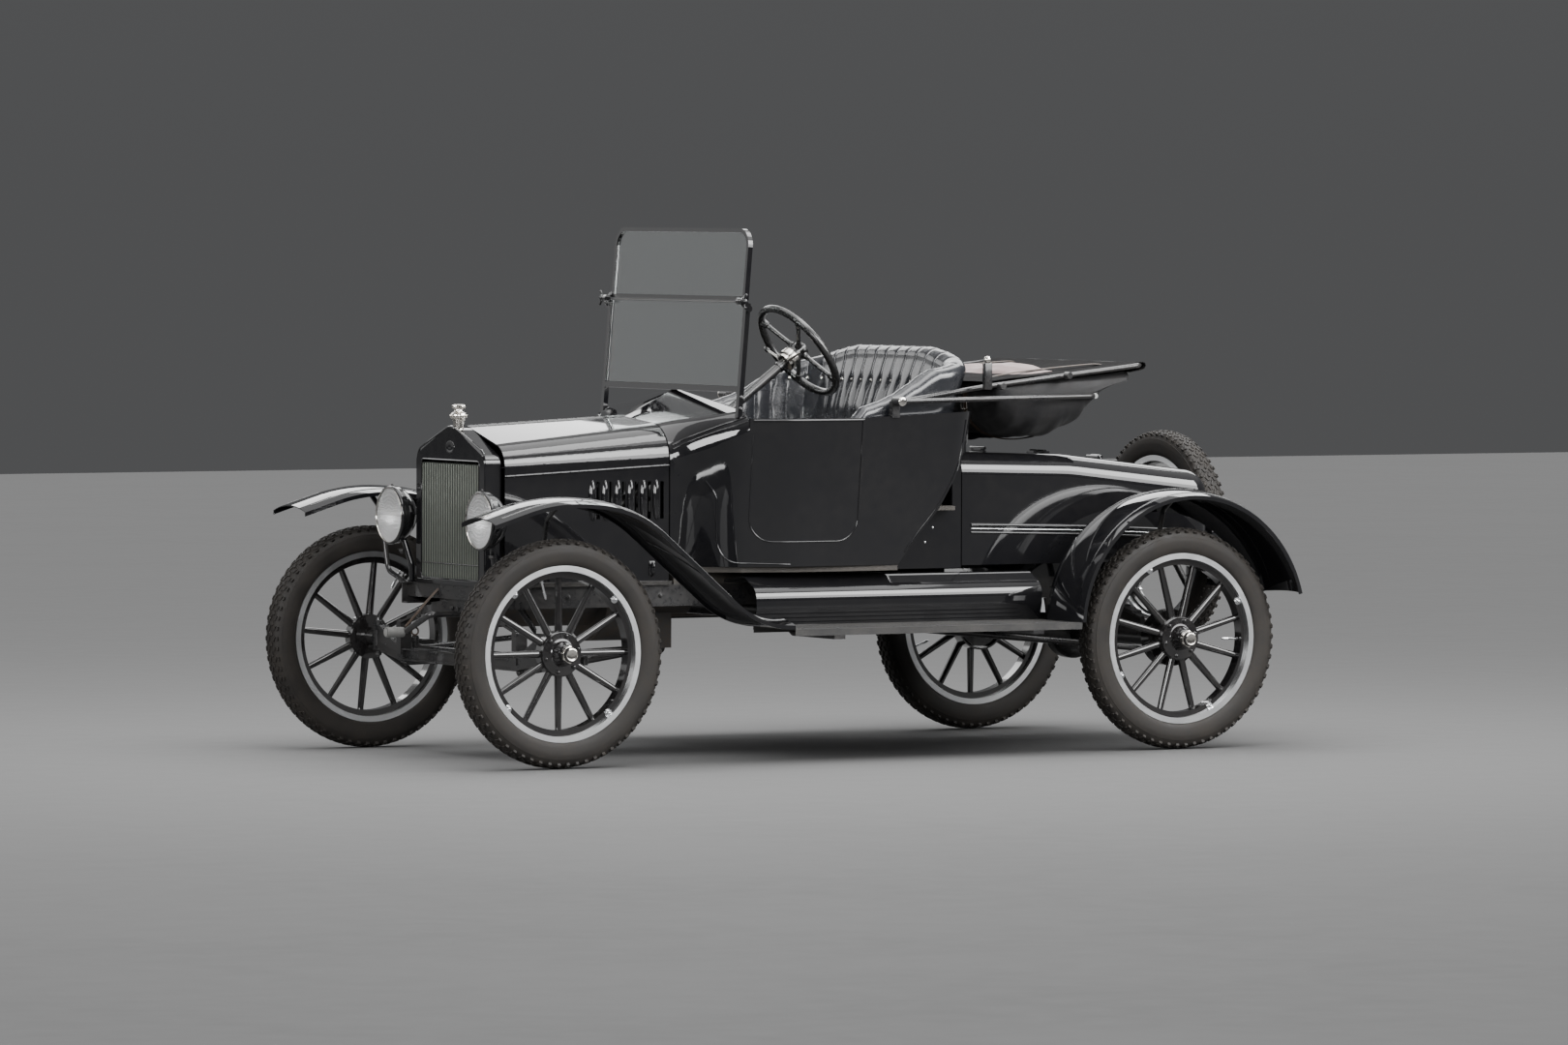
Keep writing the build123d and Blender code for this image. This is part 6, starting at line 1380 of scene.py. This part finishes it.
# roof sheet over the bundle, wrapped down over the rear bow
roofOutline = ((1.872, 1.322), (1.96, 1.333), (2.12, 1.345), (2.3, 1.36), (2.44, 1.374), (2.52, 1.3885),
               (2.539, 1.388), (2.5445, 1.378), (2.54, 1.367), (2.52, 1.36), (2.48, 1.3535))
roofSizes = dict(past=0.004, stations=96, steps=64, sink=0.004, wave=0.003, thickness=0.0022)
roofLine, roofLength = evenly([Vector(point) for point in roofOutline], roofSizes["steps"])
roofRows = []
for station in range(roofSizes["stations"] + 1):
    y = (topSizes["half"] + roofSizes["past"]) * (1 - 2 * station / roofSizes["stations"])
    middle = 1 - (abs(y) / topSizes["half"]) ** 4
    row = []
    for index, point in enumerate(roofLine):
        free = sin(pi * index / roofSizes["steps"])
        wave = roofSizes["wave"] * noise.noise(Vector((y * 9, point[0] * 11, 0.6))) * free
        row.append((aft(point[0]), y, point[1] - roofSizes["sink"] * middle * free + wave))
    roofRows.append(row)
roof = clothStrip("topRoof", roofRows, roofSizes["thickness"], roofFabric)

# lining that shows between the folds, the grey sleeve on the rear bow, and straps with buckles
liningSizes = dict(half=0.34, stations=60, steps=24, start=2.125, height=1.3395, thickness=0.0016)
liningRows = []
for station in range(liningSizes["stations"] + 1):
    y = liningSizes["half"] * (1 - 2 * station / liningSizes["stations"])
    window = max(0.0, 1 - abs(y / 0.335) ** 3)
    row = []
    for step in range(liningSizes["steps"] + 1):
        share = step / liningSizes["steps"]
        rise = 0.034 * sin(pi * share) ** 0.8 * (0.6 + 0.4 * abs(sin(y * 7.3 + 0.6))) * window
        fold = 0.0045 * noise.noise(Vector((y * 14, share * 7, 2.2))) * window
        shift = 0.018 * noise.noise(Vector((y * 6, 0.3, 7.7)))
        place = liningSizes["start"] + shift + (0.12 + 0.055 * window) * share
        row.append((aft(place), y, liningSizes["height"] + 0.016 * share + rise + fold))
    liningRows.append(row)
lining = clothStrip("topLining", liningRows, liningSizes["thickness"], liningFabric)
sleeve = wire(rounded([(aft(2.33), 0.492, 1.2685), (aft(2.332), 0.47, 1.268), (aft(2.332), -0.47, 1.268),
                       (aft(2.33), -0.492, 1.2685)], 0.02), 0.01, sides=4)
finished(sleeve, "rearBowSleeve", bowWood, smooth=60)
strapLine = ((1.89, 1.24), (1.902, 1.318), (2.1, 1.352), (2.33, 1.372), (2.47, 1.382), (2.512, 1.362),
             (2.44, 1.305), (2.35, 1.222), (2.28, 1.148), (2.15, 1.108), (2.02, 1.112), (1.92, 1.16))
straps, buckles = [], []
for y in (0.3, -0.3):
    strap = wire([(aft(place), 0, height) for place, height in strapLine], 0.0022, closed=True,
                 smoothLine=True,
                 sides=2)
    strap.scale.y = 6.0  # a flat strap, from a round bar
    strap.location.y = y
    straps.append(bakePlace(strap))
    corners = ((0.007, -0.019, 1.222), (0.011, -0.019, 1.262), (0.011, 0.019, 1.262), (0.007, 0.019, 1.222),
               (0.007, -0.019, 1.222))
    buckles.append(barFrom(Vector((aft(1.9), y, 0)), corners, 0.006, 0.0018, sides=2))
finished(straps, "topStraps", strapLeather, smooth=60)
finished(buckles, "topBuckles", nickel, smooth=60)

# pivot discs, links and thumb knobs of the irons
ironParts, brightParts = [], []
for side in (1, -1):
    pivot = Vector((aft(topSizes["pivot"][0]), side * topSizes["pivot"][1], topSizes["pivot"][2]))
    brightParts.append(turned([(0.014, 0.0155), (0.0165, 0.0165), (0.019, 0.0165), (0.021, 0.014),
                               (0.022, 0.008)], pivot,
                              (0, side, 0), 32))
    for aftPlace, height, y in ((1.88, 1.308, 0.578), (2.18, 1.344, 0.545)):
        ironParts.append(turned([(-0.012, 0.013), (0.012, 0.013), (0.014, 0.011)],
                                (aft(aftPlace), side * y, height), (0, side, 0), 24))
    clamp = boxAt((aft(1.838), side * 0.575 - 0.01, 1.296), (aft(1.806), side * 0.575 + 0.01, 1.392), 0.004)
    ironParts.append(clamp)
    brightParts.append(turned([(0, 0.0075), (0.004, 0.012), (0.014, 0.0135), (0.022, 0.01), (0.024, 0.004)],
                              (aft(1.822), side * 0.575, 1.392), (0, 0, 1), 20))
finished(ironParts, "topIronLinks", chassisPaint, smooth=35)
finished(brightParts, "topIronKnobs", nickel, smooth=45)
print("folded top made")

deselectAll()
bpy.ops.mesh.primitive_plane_add(size=60, location=(0, 0, -0.0005))
studioFloor = bpy.context.object
studioFloor.name = "studioFloor"
floorFinish = material("studioPaper", (0.42, 0.42, 0.42), (0.39, 0.39, 0.39), 0.5, 0.8, (0.6, 0.75), grain=40,
                       bump=0.02)
studioFloor.data.materials.append(floorFinish)

worldSizes = dict(color=(0.84, 0.85, 0.87), horizon=0.1, band=0.16, zenith=0.22)
world = bpy.data.worlds.new("studioWorld")
bpy.context.scene.world = world
world.use_nodes = True
worldNodes, worldLinks = world.node_tree.nodes, world.node_tree.links
heading = worldNodes.new("ShaderNodeTexCoord")
split = worldNodes.new("ShaderNodeSeparateXYZ")
ramp = worldNodes.new("ShaderNodeValToRGB")  # dim at the horizon, brighter overhead
for share, level in ((0.0, "horizon"), (0.35, "band"), (1.0, "zenith")):
    stop = ramp.color_ramp.elements[0] if share == 0 else ramp.color_ramp.elements.new(share)
    stop.position = share
    stop.color = (*(channel * worldSizes[level] for channel in worldSizes["color"]), 1)
ramp.color_ramp.elements.remove(ramp.color_ramp.elements[-1])
worldLinks.new(heading.outputs["Generated"], split.inputs[0])
worldLinks.new(split.outputs["Z"], ramp.inputs["Fac"])
worldLinks.new(ramp.outputs["Color"], worldNodes["Background"].inputs["Color"])

# lights that only the car catches, so that the floor keeps its own even tone
carOnly = bpy.data.collections.new("carOnly")
for piece in bpy.context.scene.objects:
    if piece.type == "MESH" and piece is not studioFloor:
        carOnly.objects.link(piece)
# columns: name, place, target, width, height, watts, falls on the floor too
lightTable = (
    ("overheadSoft", (0.0, 0.6, 5.0), (0.0, 0.0, 0.0), 6.0, 5.0, 190, True),
    ("spineBox", (-0.9, 0.9, 4.4), (-0.5, 0.4, 0.6), 8.0, 1.2, 180, False),
    ("apronBox", (-3.6, 5.4, 4.6), (0.0, 0.4, 0.6), 8.0, 2.2, 460, False),
    ("sideBox", (-4.5, 7.0, 4.8), (0.0, 0.5, 0.6), 9.0, 5.0, 1100, False),
    ("backBox", (-3.2, -5.6, 4.9), (0.6, 0.0, 1.0), 9.0, 2.4, 260, False),
    ("seatBox", (4.5, -7.0, 4.6), (-0.3, 0.0, 1.2), 6.0, 2.5, 110, False),
    ("cameraFill", (7.0, 13.0, 3.4), (0.0, 0.0, 0.6), 6.0, 2.4, 640, False),
    ("frontBox", (7.5, 2.2, 2.6), (1.2, 0.0, 0.8), 3.4, 1.8, 300, False),
    ("shieldCard", (4.6, -8.0, 2.9), (0.45, 0.0, 1.6), 5.0, 3.0, 26, False),
)
for name, place, target, width, height, watts, onFloor in lightTable:
    lamp = bpy.data.lights.new(name, "AREA")
    lamp.shape, lamp.size, lamp.size_y, lamp.energy = "RECTANGLE", width, height, watts
    holder = bpy.data.objects.new(name, lamp)
    bpy.context.collection.objects.link(holder)
    if not onFloor:
        holder.light_linking.receiver_collection = carOnly
    holder.location = place
    holder.rotation_euler = (Vector(target) - Vector(place)).to_track_quat("-Z", "Y").to_euler()

cameraSizes = dict(azimuth=149.754, elevation=2.054, roll=0.18, place=(16.92262, 29.034, 2.016), lens=214.54)
azimuth, elevation = radians(cameraSizes["azimuth"]), radians(cameraSizes["elevation"])
back = Vector((sin(azimuth) * cos(elevation), -cos(azimuth) * cos(elevation), sin(elevation)))
right = Vector((0, 0, 1)).cross(back).normalized()
up = back.cross(right)
turn = Matrix((right, up, back)).transposed().to_4x4() @ Matrix.Rotation(radians(cameraSizes["roll"]), 4, "Z")
cameraData = bpy.data.cameras.new("photoCamera")
cameraData.lens, cameraData.sensor_width, cameraData.clip_end = cameraSizes["lens"], 36, 200
camera = bpy.data.objects.new("photoCamera", cameraData)
bpy.context.collection.objects.link(camera)
camera.matrix_world = Matrix.Translation(cameraSizes["place"]) @ turn
bpy.context.scene.camera = camera
print("stage set")
